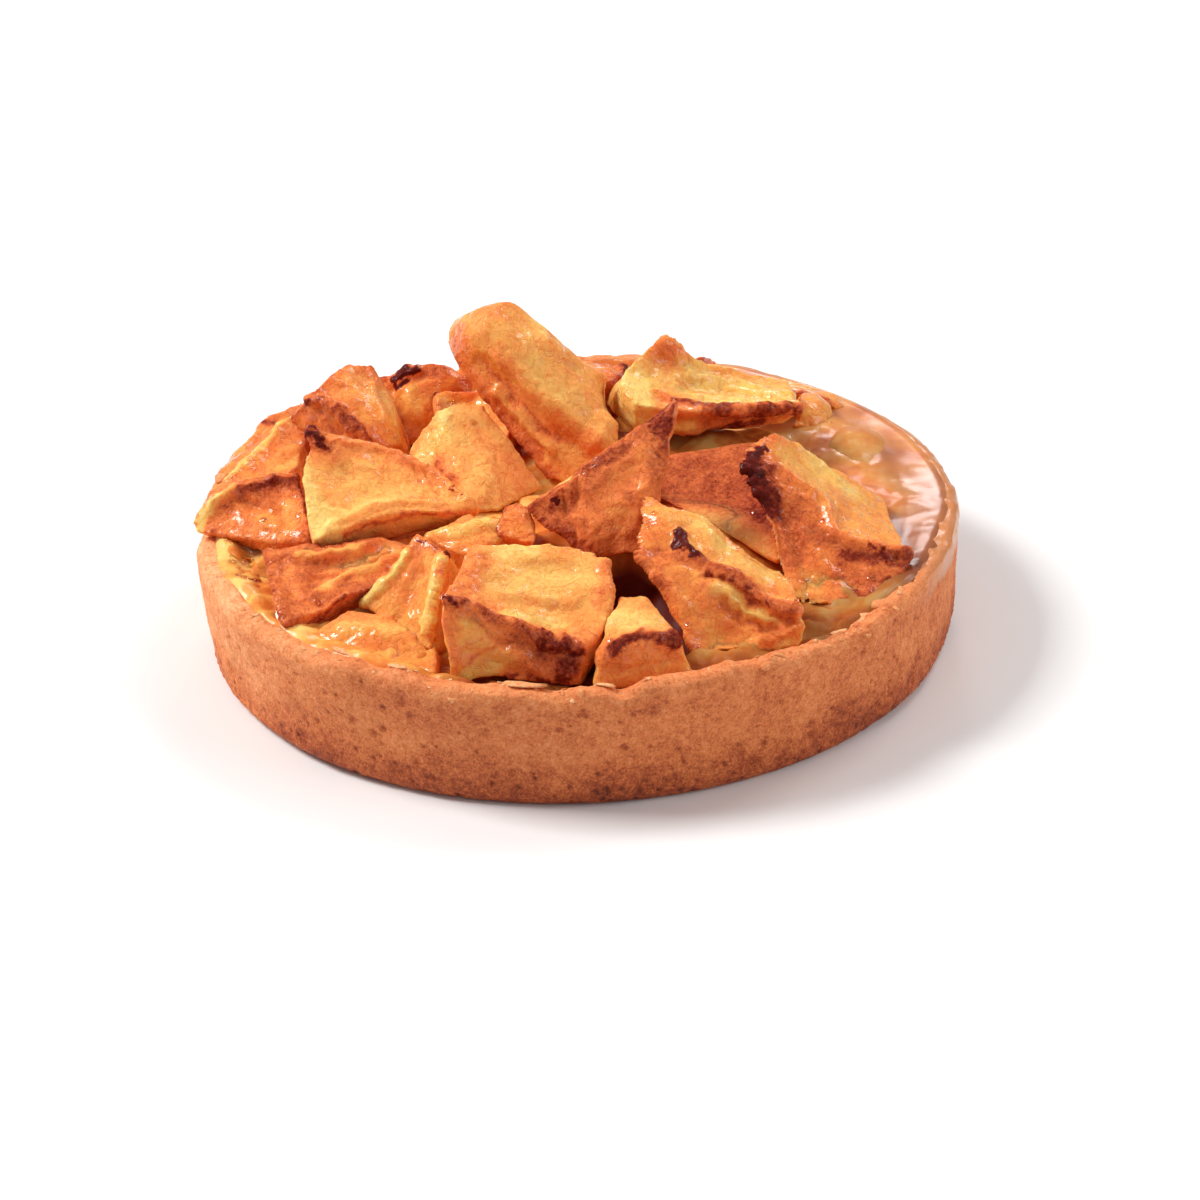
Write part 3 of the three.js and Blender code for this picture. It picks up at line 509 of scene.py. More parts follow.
# What the heat did to each piece, place by place, and where light and shade are painted on it.
# "brown" brings its roast to an amount, which in places also paints pale light or shade, "burnt"
# chars it, "wet" leaves syrup standing, and "raise" lifts a fold or sinks a crease by that many
# millimetres. Then come the width to each side in millimetres, and the places it runs through, in
# hundredths of the piece's own box.
MARKS = {
    # The big block in front: a pale top, a rusty left corner, and a charred edge and right corner.
    "apple_front_block": [
        ("brown", 0.3, 4, (15, 8, 38), (32, 6, 32)),
        ("brown", 0.53, 2, (18, 72, 97), (12, 46, 95), (6, 18, 94)),
        ("brown", 0.44, 2.4, (17, 69, 97), (11, 40, 94), (21, 30, 82), (30, 22, 73)),
        ("brown", 0.4, 3, (43, 9, 47), (57, 4, 25)),
        ("brown", 0.6, 2.4, (40, 10, 52), (57, 6, 36), (65, 3, 22)),
        ("brown", 0.46, 1, (4, 14, 70), (4, 9, 44), (5, 6, 22)),
        ("brown", 0.14, 1.4, (10, 5, 18), (23, 3, 13)),
        ("brown", 0.5, 0.6, (16, 15, 73), (24, 12, 57), (33, 8, 41)),
        ("brown", 0.52, 0.5, (8, 6, 25), (20, 7, 35), (32, 9, 46)),
        ("raise", -0.35, 0.8, (16, 15, 73), (24, 12, 57), (33, 8, 41)),
        ("raise", 0.3, 1.4, (32, 6, 32), (54, 3, 16)),
        ("raise", 0.45, 1, (4, 18, 93), (16, 18, 84), (32, 15, 70), (43, 12, 59), (57, 9, 51),
         (78, 6, 47)),
        ("wet", 1.2, 2, (4, 10, 50), (9, 5, 18), (25, 2, 8)),
        ("wet", 1.4, 1.2, (74, 5, 40), (76, 2, 20)),
        ("brown", 0.66, 0.7, (5, 18, 92), (16, 18, 84), (32, 15, 70), (43, 12, 59), (57, 9, 51)),
        ("brown", 0.76, 0.9, (57, 9, 50), (78, 6, 46)),
        ("brown", 0.79, 1.6, (69, 7, 44), (77, 4, 38), (74, 2, 22), (66, 1, 8)),
        ("brown", 0.76, 1.2, (57, 8, 47), (67, 6, 41)),
        ("burnt", 0.5, 1, (72, 6, 42), (77, 4, 36), (75, 2, 20)),
        ("burnt", 0.4, 0.7, (59, 8, 47), (66, 7, 43)),
        ("burnt", 0.6, 0.8, (4, 18, 92), (6, 17, 86)),
        ("brown", 0.72, 0.6, (34, 2, 7), (54, 1, 5), (73, 1, 6)),
        ("brown", 0.17, 3, (44, 59, 80), (67, 57, 74), (84, 60, 76)),
        ("brown", 0.08, 1.6, (38, 88, 99), (50, 85, 96)),
        ("brown", 0.32, 1.4, (59, 83, 95), (79, 80, 93), (95, 72, 87)),
        ("raise", 0.3, 1, (32, 40, 77), (44, 43, 72), (58, 43, 67), (77, 40, 63)),
        ("raise", -0.2, 1, (34, 36, 74), (46, 34, 67), (61, 38, 64), (75, 31, 59)),
        ("brown", 0.32, 0.6, (32, 38, 76), (47, 41, 70), (61, 39, 65), (78, 36, 61)),
        ("brown", 0.13, 1.3, (38, 23, 69), (55, 22, 60), (72, 20, 55)),
        ("brown", 0.42, 1.6, (82, 28, 58), (86, 12, 51), (80, 12, 52)),
        ("brown", 0.46, 1.2, (93, 41, 66), (99, 56, 76), (98, 69, 85)),
        ("raise", 0.35, 1.1, (93, 41, 66), (99, 57, 77), (96, 71, 86)),
        ("brown", 0.5, 0.6, (17, 73, 98), (22, 75, 97)),
        ("raise", -0.3, 1.5, (50, 69, 84), (73, 65, 79)),
    ],
    # A small wedge beside it, dried and charred along its upper edge.
    "apple_front_wedge": [
        ("brown", 0.38, 3, (15, 2, 25), (48, 2, 29), (79, 10, 30)),
        ("raise", 0.55, 1.2, (9, 22, 37), (23, 10, 62), (34, 16, 75), (51, 19, 81), (67, 16, 76),
         (84, 18, 62)),
        ("brown", 0.8, 1.2, (23, 8, 60), (34, 12, 72), (51, 14, 78), (67, 11, 73), (84, 18, 61)),
        ("burnt", 0.34, 0.7, (36, 5, 68), (49, 4, 70), (62, 6, 69), (79, 14, 56)),
        ("brown", 0.5, 1, (7, 39, 20), (16, 6, 52)),
        ("brown", 0.1, 2.2, (20, 52, 84), (34, 38, 88), (56, 33, 90)),
        ("brown", 0.3, 0.5, (21, 1, 24), (48, 2, 29), (76, 8, 29)),
        ("raise", -0.2, 0.6, (18, 2, 30), (48, 2, 36), (76, 9, 40)),
    ],
    # Twisted as it dried, with a dark ridge across it, a fold under that and a black blister on top.
    "apple_front_twist": [
        ("brown", 0.4, 4, (38, 13, 21), (55, 7, 9)),
        ("brown", 0.46, 2.4, (32, 24, 39), (38, 14, 23), (45, 7, 10)),
        ("brown", 0.42, 1.6, (58, 3, 1), (77, 7, 2)),
        ("brown", 0.6, 1.4, (9, 33, 50), (15, 25, 39), (23, 14, 23), (30, 5, 9)),
        ("brown", 0.44, 2, (15, 36, 57), (33, 27, 45), (45, 21, 35)),
        ("brown", 0.4, 1.8, (21, 26, 41), (29, 16, 25), (31, 6, 11)),
        ("brown", 0.3, 1.4, (41, 16, 26), (47, 10, 16)),
        ("brown", 0.54, 1, (2, 44, 66), (6, 37, 56), (14, 30, 46)),
        ("raise", 0.35, 0.9, (2, 45, 67), (7, 36, 55), (17, 29, 45), (26, 19, 31)),
        ("raise", 0.5, 1.2, (39, 42, 61), (54, 36, 55), (66, 29, 49), (81, 21, 41), (96, 18, 36)),
        ("wet", 1.1, 1.4, (8, 84, 91), (11, 67, 80), (8, 51, 70)),
        ("wet", 1.6, 1.2, (31, 6, 11), (35, 0, 2)),
        ("wet", 1.2, 2, (40, 80, 76), (64, 65, 59), (82, 49, 48)),
        ("brown", 0.6, 1.1, (6, 48, 69), (15, 45, 66), (39, 40, 60), (54, 34, 54), (66, 27, 48),
         (81, 21, 40), (96, 17, 34)),
        ("brown", 0.76, 0.6, (42, 33, 56), (54, 27, 48), (66, 22, 40), (80, 18, 31), (92, 16, 26)),
        ("raise", -0.6, 0.7, (42, 31, 54), (54, 26, 46), (66, 21, 37), (80, 17, 30), (92, 15, 24)),
        ("brown", 0.76, 0.4, (53, 36, 56), (56, 34, 54)),
        ("brown", 0.8, 0.4, (64, 25, 47), (66, 24, 45)),
        ("brown", 0.8, 0.4, (77, 21, 39), (80, 20, 37)),
        ("raise", 0.3, 1, (46, 27, 47), (57, 22, 39), (68, 19, 32), (85, 16, 24)),
        ("brown", 0.2, 1.1, (47, 26, 45), (56, 22, 38), (68, 18, 31), (84, 16, 24)),
        ("raise", -0.5, 0.8, (48, 21, 35), (59, 16, 27), (71, 14, 21), (85, 14, 18)),
        ("brown", 0.54, 0.6, (49, 20, 33), (59, 16, 25), (71, 14, 20), (85, 13, 17)),
        ("raise", 0.6, 1, (64, 4, 1), (72, 9, 9), (80, 12, 14), (95, 14, 16)),
        ("brown", 0.44, 1.1, (64, 4, 1), (72, 9, 9), (80, 12, 14), (95, 14, 18)),
        ("burnt", 0.5, 0.5, (83, 10, 7), (84, 10, 7)),
        ("brown", 0.16, 3, (41, 73, 74), (65, 63, 59), (80, 53, 50)),
        ("brown", 0.1, 1, (35, 73, 77), (59, 62, 62)),
        ("brown", 0.36, 0.7, (29, 79, 81), (53, 68, 66), (77, 55, 51)),
        ("brown", 0.3, 1.8, (10, 79, 87), (13, 68, 80)),
        ("brown", 0.44, 1.2, (7, 71, 83), (10, 56, 74)),
        ("raise", 0.4, 1.4, (11, 81, 89), (14, 68, 80), (10, 55, 73)),
        ("brown", 0.38, 1.4, (85, 33, 44), (93, 29, 39)),
        ("burnt", 1, 1.35, (23, 58, 73), (25, 52, 70), (30, 47, 66), (35, 45, 64)),
        ("burnt", 0.8, 1.1, (20, 51, 70), (25, 50, 69)),
        ("raise", 0.8, 1.2, (23, 58, 73), (25, 52, 70), (30, 47, 66), (35, 45, 64)),
        ("wet", 1.2, 1, (23, 58, 73), (30, 47, 66), (35, 45, 64)),
        ("raise", -0.4, 3, (47, 11, 17), (55, 7, 9)),
    ],
    # Black at its left corner, browned along its near edge, and wet with glaze below that.
    "apple_right_wedge": [
        ("raise", -1, 4, (26, 38, 53), (37, 25, 34), (54, 14, 17)),
        ("brown", 0.6, 3.4, (20, 44, 63), (28, 34, 46), (33, 22, 31)),
        ("brown", 0.6, 2.8, (35, 44, 57), (48, 30, 38), (61, 23, 27)),
        ("brown", 0.58, 2.4, (57, 14, 17), (69, 12, 13), (85, 16, 13)),
        ("brown", 0.7, 1.4, (61, 3, 4), (75, 6, 6), (88, 13, 9)),
        ("raise", 0.6, 1, (19, 66, 83), (37, 61, 68), (50, 55, 56), (57, 35, 41), (78, 33, 31),
         (99, 31, 22)),
        ("brown", 0.38, 0.7, (28, 64, 76), (37, 63, 69), (50, 56, 57)),
        ("brown", 0.42, 1.2, (52, 50, 53), (56, 39, 44), (65, 33, 36)),
        ("brown", 0.74, 1.1, (61, 28, 32), (74, 27, 27), (89, 26, 21), (99, 26, 18)),
        ("burnt", 0.5, 0.8, (76, 31, 30), (87, 30, 26), (86, 23, 20)),
        ("burnt", 0.4, 0.5, (55, 2, 2), (68, 1, 1), (84, 7, 4), (94, 15, 9)),
        ("brown", 0.72, 1.4, (91, 27, 22), (99, 27, 19), (98, 20, 13)),
        ("brown", 0.36, 1.6, (40, 17, 22), (54, 12, 16)),
        ("brown", 0.42, 1.4, (43, 24, 32), (51, 24, 31)),
        ("raise", -0.4, 0.9, (26, 38, 53), (32, 25, 35), (41, 7, 7)),
        ("raise", 0.3, 0.8, (35, 36, 49), (46, 22, 29), (59, 16, 20)),
        ("burnt", 1, 1.2, (13, 78, 95), (6, 67, 91), (2, 58, 85), (6, 51, 74), (13, 45, 64)),
        ("burnt", 1, 1.6, (3, 60, 88), (9, 56, 81)),
        ("brown", 0.84, 2, (16, 74, 91), (11, 61, 84), (14, 51, 72), (18, 44, 62)),
        ("wet", 1.6, 2.4, (37, 21, 29), (51, 15, 19)),
        ("wet", 1.8, 1.6, (62, 15, 18), (73, 8, 8)),
        ("wet", 1.3, 3, (29, 74, 82), (55, 58, 54)),
        ("wet", 1.5, 0.8, (37, 63, 69), (50, 56, 57)),
        ("brown", 0.72, 1.4, (14, 60, 81), (20, 54, 73)),
        ("brown", 0.52, 1.3, (20, 84, 94), (28, 90, 91), (34, 91, 85)),
        ("brown", 0.56, 1.3, (16, 77, 92), (19, 69, 85)),
        ("brown", 0.14, 2.5, (41, 92, 78), (58, 86, 60), (70, 78, 47)),
        ("brown", 0.24, 3, (29, 78, 83), (47, 71, 65)),
        ("raise", 0.25, 0.7, (37, 91, 83), (53, 92, 67), (63, 81, 54)),
        ("raise", -0.2, 0.6, (41, 92, 78), (55, 93, 64), (69, 88, 49)),
    ],
    # Lies level and wet with syrup; its near edge is curled, browned and charred.
    "apple_back_slab": [
        # Painted light: its rounded left end glows pale yellow.
        ("brown", 0, 3.5, (7, 30, 89), (9, 16, 44)),
        ("wet", 2.4, 2.4, (44, 50, 67), (71, 54, 48), (98, 42, 42)),
        ("wet", 2.4, 1.2, (35, 60, 87), (44, 59, 74)),
        ("wet", 1.6, 1.2, (31, 3, 68), (42, 7, 54)),
        ("brown", 0.05, 2.4, (16, 27, 79), (15, 1, 76)),
        ("brown", 0.34, 1.8, (20, 50, 92), (25, 54, 91)),
        ("brown", 0.5, 1.8, (29, 59, 93), (32, 54, 82)),
        ("brown", 0.54, 0.8, (36, 63, 90), (43, 62, 78)),
        ("raise", 0.5, 1.2, (29, 61, 95), (35, 62, 89)),
        ("brown", 0.1, 5, (49, 48, 61), (82, 50, 44)),
        ("brown", 0.1, 1, (44, 52, 68), (71, 57, 49), (98, 42, 42)),
        ("brown", 0.34, 0.7, (38, 43, 68), (60, 43, 53), (73, 43, 47)),
        ("brown", 0.32, 1, (58, 65, 63), (77, 71, 47)),
        ("raise", -0.35, 0.9, (41, 47, 68), (65, 48, 51), (92, 33, 45)),
        ("raise", 0.35, 1, (44, 55, 70), (71, 62, 49), (98, 48, 41)),
        ("raise", 0.3, 0.8, (49, 34, 58), (70, 32, 50)),
        ("brown", 0.06, 0.9, (51, 27, 57), (70, 28, 50), (92, 27, 46)),
        ("brown", 0.46, 1, (24, 22, 71), (31, 19, 67)),
        ("raise", 0.45, 1, (24, 22, 71), (37, 16, 64), (53, 11, 59), (69, 12, 50), (86, 16, 45),
         (98, 19, 47)),
        ("brown", 0.72, 1, (35, 16, 65), (48, 12, 60), (64, 11, 53), (80, 15, 44), (98, 18, 45)),
        ("burnt", 0.3, 0.6, (59, 10, 50), (72, 14, 42), (83, 16, 42)),
        ("brown", 0.44, 1.1, (29, 4, 65), (42, 6, 59)),
        ("brown", 0.12, 1, (30, 6, 50), (42, 9, 46)),
        ("brown", 0.56, 1, (50, 10, 45), (69, 14, 40)),
        ("brown", 0.78, 0.8, (42, 13, 30), (53, 15, 29), (66, 16, 33), (83, 19, 32)),
        ("raise", -0.5, 0.9, (35, 6, 54), (47, 9, 49), (64, 12, 45)),
    ],
    # The tall one: browned down its left side, in long soft creases.
    "apple_back_wedge": [
        ("brown", 0.28, 4, (34, 44, 90), (57, 40, 77)),
        ("wet", 2.2, 2.6, (9, 56, 74), (20, 47, 64), (29, 38, 46)),
        ("brown", 0.5, 2.8, (7, 59, 75), (10, 56, 57), (21, 44, 43), (38, 26, 23), (55, 8, 3)),
        ("brown", 0.42, 1.8, (13, 86, 83), (28, 53, 98)),
        ("brown", 0.44, 1.9, (31, 37, 75), (47, 27, 56), (66, 16, 39), (85, 7, 25)),
        ("brown", 0.34, 1.4, (41, 28, 39), (55, 17, 24), (66, 8, 13)),
        ("raise", -0.35, 1.3, (23, 44, 67), (33, 36, 56), (41, 30, 48), (55, 20, 35), (72, 10, 23)),
        ("brown", 0.54, 0.6, (23, 44, 67), (33, 36, 56), (41, 30, 48), (55, 20, 35), (72, 10, 23)),
        ("raise", 0.45, 1.3, (33, 36, 74), (50, 26, 60), (67, 17, 44), (88, 8, 27)),
        ("raise", 0.5, 0.9, (32, 36, 48), (46, 24, 35), (62, 12, 20)),
        ("raise", -0.3, 1, (32, 34, 41), (43, 24, 29), (55, 13, 15)),
        ("brown", 0.5, 0.6, (32, 34, 41), (43, 24, 29), (55, 13, 15)),
        ("brown", 0.62, 0.8, (13, 52, 52), (29, 35, 33), (45, 18, 14), (56, 7, 2)),
        ("brown", 0.56, 0.9, (10, 56, 56), (17, 48, 49)),
        ("brown", 0.22, 2.6, (51, 30, 69), (65, 24, 57), (79, 20, 46)),
        ("brown", 0.16, 1.2, (55, 63, 85), (60, 53, 81)),
        ("brown", 0.3, 1.2, (90, 12, 32), (95, 30, 44)),
        ("raise", -0.9, 2.2, (98, 40, 47), (100, 33, 42)),
        ("raise", 0.7, 2, (93, 16, 34), (90, 8, 27)),
        ("raise", 0.5, 1.6, (62, 49, 79), (69, 46, 73)),
        ("raise", -0.4, 1.2, (75, 43, 67), (80, 42, 63)),
    ],
    # Leathery and brown, darkest at the tip that stands up, with one pale cut edge.
    "apple_middle_fang": [
        ("brown", 0.5, 4, (45, 22, 45), (51, 11, 32), (65, 3, 18)),
        ("brown", 0.56, 1.8, (24, 19, 35), (44, 8, 26)),
        ("brown", 0.66, 1.1, (4, 30, 43), (25, 50, 48), (53, 44, 66), (72, 54, 77)),
        ("brown", 0, 0.8, (24, 50, 47), (40, 56, 55), (53, 62, 64), (67, 68, 73)),
        ("brown", 0.78, 1.8, (83, 77, 86), (91, 95, 88), (94, 63, 88)),
        ("brown", 0.7, 1, (95, 57, 83), (92, 48, 74)),
        ("burnt", 0.4, 0.9, (85, 79, 88), (93, 96, 91)),
        ("raise", 0.3, 0.7, (74, 72, 78), (87, 80, 89)),
        ("burnt", 0.75, 0.8, (15, 29, 44), (20, 29, 46)),
        ("burnt", 0.65, 0.5, (32, 50, 52), (35, 50, 54)),
        ("burnt", 0.4, 0.6, (4, 26, 38), (7, 27, 40)),
        ("brown", 0.68, 0.6, (15, 26, 41), (21, 15, 28), (31, 6, 16)),
        ("brown", 0.66, 0.5, (35, 36, 55), (32, 22, 41)),
        ("brown", 0.62, 0.6, (50, 1, 11), (67, 18, 5)),
        ("raise", -0.35, 0.6, (42, 42, 62), (37, 24, 45), (44, 10, 29)),
        ("raise", -0.3, 0.5, (25, 33, 50), (27, 18, 35), (37, 6, 18)),
        ("brown", 0.66, 1.1, (10, 20, 31), (25, 10, 20), (50, 1, 11)),
        ("raise", -0.5, 1.6, (24, 24, 41), (52, 21, 45), (77, 35, 62)),
        ("raise", 0.4, 1.2, (81, 63, 85), (85, 39, 66), (75, 10, 32)),
        ("brown", 0.44, 1, (80, 48, 75), (79, 25, 51)),
        ("brown", 0.38, 1.4, (58, 20, 45), (68, 14, 39)),
    ],
    # A pale face with a charred left tip and a rusty far edge, folded under along the near one.
    "apple_left_triangle": [
        ("brown", 0.44, 1.6, (15, 69, 75), (18, 58, 65)),
        ("brown", 0.25, 4, (26, 52, 57), (49, 46, 48)),
        ("brown", 0.4, 2, (23, 76, 77), (49, 74, 65), (69, 62, 54)),
        ("brown", 0.3, 1.2, (29, 61, 62), (54, 56, 52)),
        # Painted light: the left edge and lower left corner glow pale yellow.
        ("brown", 0.02, 1.5, (1, 56, 74), (4, 30, 52), (8, 4, 34)),
        ("brown", 0.06, 2, (12, 19, 42), (15, 6, 35)),
        ("brown", 0.48, 0.9, (13, 79, 85), (43, 78, 70), (66, 69, 58), (83, 52, 49)),
        ("raise", 0.35, 0.8, (13, 79, 85), (43, 78, 70), (66, 69, 58), (83, 52, 49), (94, 35, 42)),
        ("burnt", 0.6, 0.6, (76, 58, 52), (86, 47, 47), (94, 34, 41)),
        ("brown", 0.62, 1.7, (2, 79, 93), (7, 70, 82)),
        ("burnt", 1, 0.9, (1, 80, 95), (4, 75, 88)),
        ("burnt", 0.7, 0.9, (3, 72, 86), (7, 69, 81)),
        ("raise", 0.35, 1.1, (2, 79, 94), (4, 75, 88), (6, 71, 82)),
        ("raise", -0.35, 0.6, (69, 61, 53), (77, 38, 43)),
        ("raise", -0.3, 0.5, (61, 65, 57), (70, 39, 44)),
        ("brown", 0.4, 0.5, (69, 61, 53), (77, 38, 43)),
        ("raise", 0.45, 0.9, (15, 8, 36), (43, 20, 40), (66, 29, 42), (93, 32, 41)),
        ("brown", 0.3, 0.6, (21, 13, 39), (43, 23, 41), (66, 31, 42), (89, 33, 41)),
        ("brown", 0.6, 0.5, (24, 7, 29), (55, 16, 34), (91, 27, 35)),
        ("raise", -0.2, 3, (26, 52, 57), (54, 47, 48)),
        ("brown", 0.15, 1.2, (24, 19, 41), (55, 34, 43)),
        ("raise", -0.2, 0.5, (20, 59, 64), (43, 36, 45)),
        ("raise", -0.2, 0.5, (37, 67, 63), (60, 45, 46)),
    ],
    # Only a browned edge of it shows, under the triangle.
    "apple_left_under": [
        ("brown", 0.44, 3, (28, 69, 78), (50, 82, 86)),
        ("brown", 0.6, 0.7, (28, 69, 78), (53, 83, 86), (85, 87, 98)),
    ],
    # Dried dark along the ridge down its near side.
    "apple_left_upper": [
        ("brown", 0.36, 3.4, (51, 46, 91), (61, 19, 68)),
        ("brown", 0.52, 1.4, (15, 31, 71), (26, 23, 61), (40, 15, 52)),
        ("brown", 0.24, 3, (76, 44, 74), (93, 24, 46)),
        ("wet", 1.3, 2.5, (75, 37, 73), (89, 22, 47)),
        ("brown", 0.4, 0.6, (27, 25, 69), (37, 18, 59)),
        ("brown", 0.68, 0.7, (15, 33, 79), (27, 27, 81), (44, 17, 70), (54, 10, 59), (66, 3, 46)),
        ("burnt", 0.7, 0.7, (16, 33, 80), (19, 32, 81)),
        ("burnt", 0.4, 0.4, (31, 25, 80), (44, 17, 71), (54, 10, 60), (64, 3, 48)),
        ("raise", 0.5, 0.8, (17, 33, 82), (31, 25, 79), (48, 14, 66), (64, 3, 48)),
        ("raise", -0.35, 0.7, (25, 26, 71), (46, 12, 52)),
        ("brown", 0.27, 1.6, (74, 45, 77), (80, 37, 67)),
        ("brown", 0.34, 1.2, (61, 55, 91), (70, 34, 75)),
        ("raise", 0.3, 1, (68, 54, 86), (78, 22, 59)),
        ("brown", 0.55, 0.6, (43, 41, 91), (47, 40, 89)),
    ],
    # Its top corner burnt black.
    "apple_back_charred": [
        ("brown", 0.5, 1.3, (14, 39, 77), (16, 33, 72)),
        ("burnt", 1, 1, (21, 48, 87), (30, 53, 95), (42, 55, 96)),
        ("burnt", 0.8, 0.8, (23, 42, 82), (32, 43, 87)),
        ("raise", 0.4, 1.1, (21, 48, 87), (30, 53, 95), (42, 55, 96)),
        ("brown", 0.56, 0.9, (52, 52, 91), (68, 49, 87)),
        ("brown", 0.24, 2, (33, 31, 72), (44, 21, 59)),
        ("raise", 0.35, 1.2, (29, 35, 78), (37, 26, 67), (46, 19, 55)),
        ("raise", -0.3, 0.8, (21, 37, 77), (29, 23, 61)),
    ],
    # Yellow and soft, with one brown stain low on its left.
    "apple_yellow_slice": [
        ("brown", 0.4, 3, (56, 55, 68), (78, 39, 37)),
        ("brown", 0.26, 3, (38, 55, 69), (45, 32, 45)),
        # Painted light: paler down its left edge.
        ("brown", 0.04, 2, (29, 76, 91), (23, 63, 67), (13, 61, 45)),
        ("wet", 0.9, 1.4, (24, 66, 75), (18, 62, 57)),
        ("brown", 0.28, 0.7, (38, 73, 90), (43, 47, 61), (52, 25, 36)),
        ("brown", 0.62, 0.5, (22, 51, 48), (26, 41, 39), (32, 32, 35)),
        ("raise", -0.3, 1.2, (38, 69, 85), (49, 40, 52)),
        ("raise", -0.25, 0.5, (53, 68, 85), (67, 43, 48)),
    ],
    # Dark along its dried upper edge, and painted light round its left end, which glows pale.
    "apple_left_far": [
        ("brown", 0.44, 3, (41, 47, 51), (56, 47, 58)),
        ("wet", 0.5, 1.2, (62, 39, 55), (86, 32, 63)),
        # Painted light: its left end and the start of its crest glow pale.
        ("brown", 0.04, 0.9, (20, 76, 67), (11, 70, 58), (4, 65, 49), (4, 54, 41)),
        ("brown", 0.06, 0.6, (21, 75, 67), (36, 79, 78)),
        ("raise", 0.45, 0.9, (15, 73, 62), (36, 79, 78), (62, 80, 92), (87, 80, 99)),
        ("brown", 0.7, 1.2, (43, 74, 76), (62, 75, 86), (87, 73, 94)),
        ("brown", 0.75, 0.6, (55, 76, 84), (70, 74, 89)),
        ("brown", 0.72, 0.6, (27, 64, 58), (32, 64, 60)),
        ("brown", 0.74, 0.6, (14, 53, 44), (18, 51, 44)),
        ("brown", 0.3, 1.6, (77, 49, 71), (86, 29, 61)),
        ("brown", 0.36, 1.6, (62, 39, 55), (80, 21, 51)),
        ("raise", -0.4, 1, (41, 67, 68), (71, 44, 64)),
        ("raise", 0.3, 0.6, (42, 75, 76), (55, 61, 69), (66, 48, 64)),
        ("raise", 0.3, 0.8, (56, 39, 52), (71, 27, 51)),
    ],
    # Leans on the rim at the far left, with one dark spot.
    "apple_rim_outer": [
        ("brown", 0.68, 0.8, (51, 68, 83), (63, 69, 90)),
        ("brown", 0.3, 1.2, (21, 31, 61), (1, 8, 41)),
        ("brown", 0.12, 1, (4, 16, 44), (1, 8, 41)),
        ("raise", 0.3, 0.8, (81, 83, 97), (49, 70, 80), (31, 39, 69)),
    ],
    # A raised edge runs the length of it, with a painted highlight along it.
    "apple_rim_inner": [
        ("brown", 0.4, 2.4, (53, 28, 69), (79, 46, 78)),
        # Painted highlight along the crest.
        ("brown", 0.06, 0.7, (85, 90, 98), (72, 75, 93), (58, 59, 87), (42, 42, 76), (19, 21, 58)),
        ("raise", 0.4, 0.7, (85, 90, 98), (72, 75, 93), (58, 59, 87), (42, 42, 76), (19, 21, 58)),
        ("brown", 0.26, 1.2, (77, 31, 68), (91, 39, 71)),
        ("raise", -0.3, 1.2, (83, 65, 88), (53, 28, 69)),
    ],
    # The lowest on the left: browned edges all round and long folds across it.
    "apple_left_low": [
        ("brown", 0.5, 3, (36, 16, 45), (48, 21, 48)),
        ("brown", 0.4, 1.6, (47, 60, 66), (67, 66, 68)),
        ("brown", 0.36, 2.4, (66, 62, 66), (85, 70, 74)),
        ("brown", 0.44, 1.2, (17, 57, 77), (24, 31, 58)),
        ("burnt", 0.5, 0.6, (1, 84, 99), (9, 84, 98), (15, 84, 98)),
        ("brown", 0.57, 1.1, (6, 75, 94), (11, 50, 76), (18, 25, 57), (21, 7, 42)),
        ("raise", 0.3, 1, (4, 77, 95), (10, 50, 77), (17, 24, 57), (23, 5, 40)),
        ("raise", -0.35, 0.8, (15, 69, 87), (23, 37, 61), (30, 14, 45)),
        ("raise", -0.5, 1.2, (25, 63, 77), (56, 64, 68), (81, 72, 76)),
        ("brown", 0.5, 0.8, (28, 67, 80), (53, 64, 68), (81, 72, 76)),
        ("brown", 0.27, 0.8, (28, 72, 86), (47, 74, 82), (66, 77, 83)),
        ("raise", 0.4, 0.8, (27, 73, 87), (50, 74, 81), (72, 79, 85)),
        ("raise", 0.6, 1.1, (40, 35, 53), (57, 47, 56), (73, 56, 63), (88, 67, 73)),
        ("brown", 0.24, 1, (43, 38, 53), (57, 48, 57), (73, 55, 62)),
        ("raise", -0.4, 0.9, (45, 21, 48), (63, 35, 54)),
        ("brown", 0.56, 0.7, (48, 19, 47), (63, 32, 54)),
        ("raise", -0.3, 0.6, (35, 50, 64), (56, 55, 62)),
        ("brown", 0.46, 0.5, (29, 51, 67), (53, 53, 61)),
        ("brown", 0.7, 0.7, (23, 0, 36), (35, 12, 11), (48, 17, 30), (60, 24, 49)),
        ("brown", 0.36, 1.1, (71, 69, 72), (86, 73, 78)),
    ],
    # Curled into a wet trough between two pale raised edges.
    "apple_left_curl": [
        ("brown", 0.48, 1.6, (54, 68, 86), (48, 60, 69)),
        ("brown", 0.4, 1.2, (36, 59, 57), (44, 60, 66)),
        ("burnt", 0.6, 0.6, (56, 76, 97), (63, 72, 98)),
        ("burnt", 0.8, 0.6, (77, 58, 95), (82, 54, 91)),
        ("brown", 0.62, 0.5, (63, 71, 97), (77, 58, 95)),
        ("brown", 0, 0.9, (43, 70, 80), (28, 64, 60), (4, 64, 31)),
        ("raise", 0.45, 0.8, (45, 70, 82), (28, 64, 60), (2, 64, 29)),
        ("brown", 0.36, 1.2, (36, 54, 51), (50, 39, 47)),
        ("raise", -0.4, 1.2, (56, 53, 68), (40, 41, 39), (32, 35, 25)),
        ("wet", 1.6, 2, (55, 36, 49), (47, 24, 27)),
        ("raise", 0.5, 1, (77, 50, 86), (69, 33, 64), (62, 10, 29)),
        ("brown", 0.06, 0.8, (77, 51, 87), (69, 35, 65), (60, 13, 31)),
        ("brown", 0.42, 0.8, (81, 50, 73), (75, 34, 50), (70, 19, 30)),
        ("raise", 0.3, 0.7, (45, 34, 35), (57, 19, 34)),
    ],
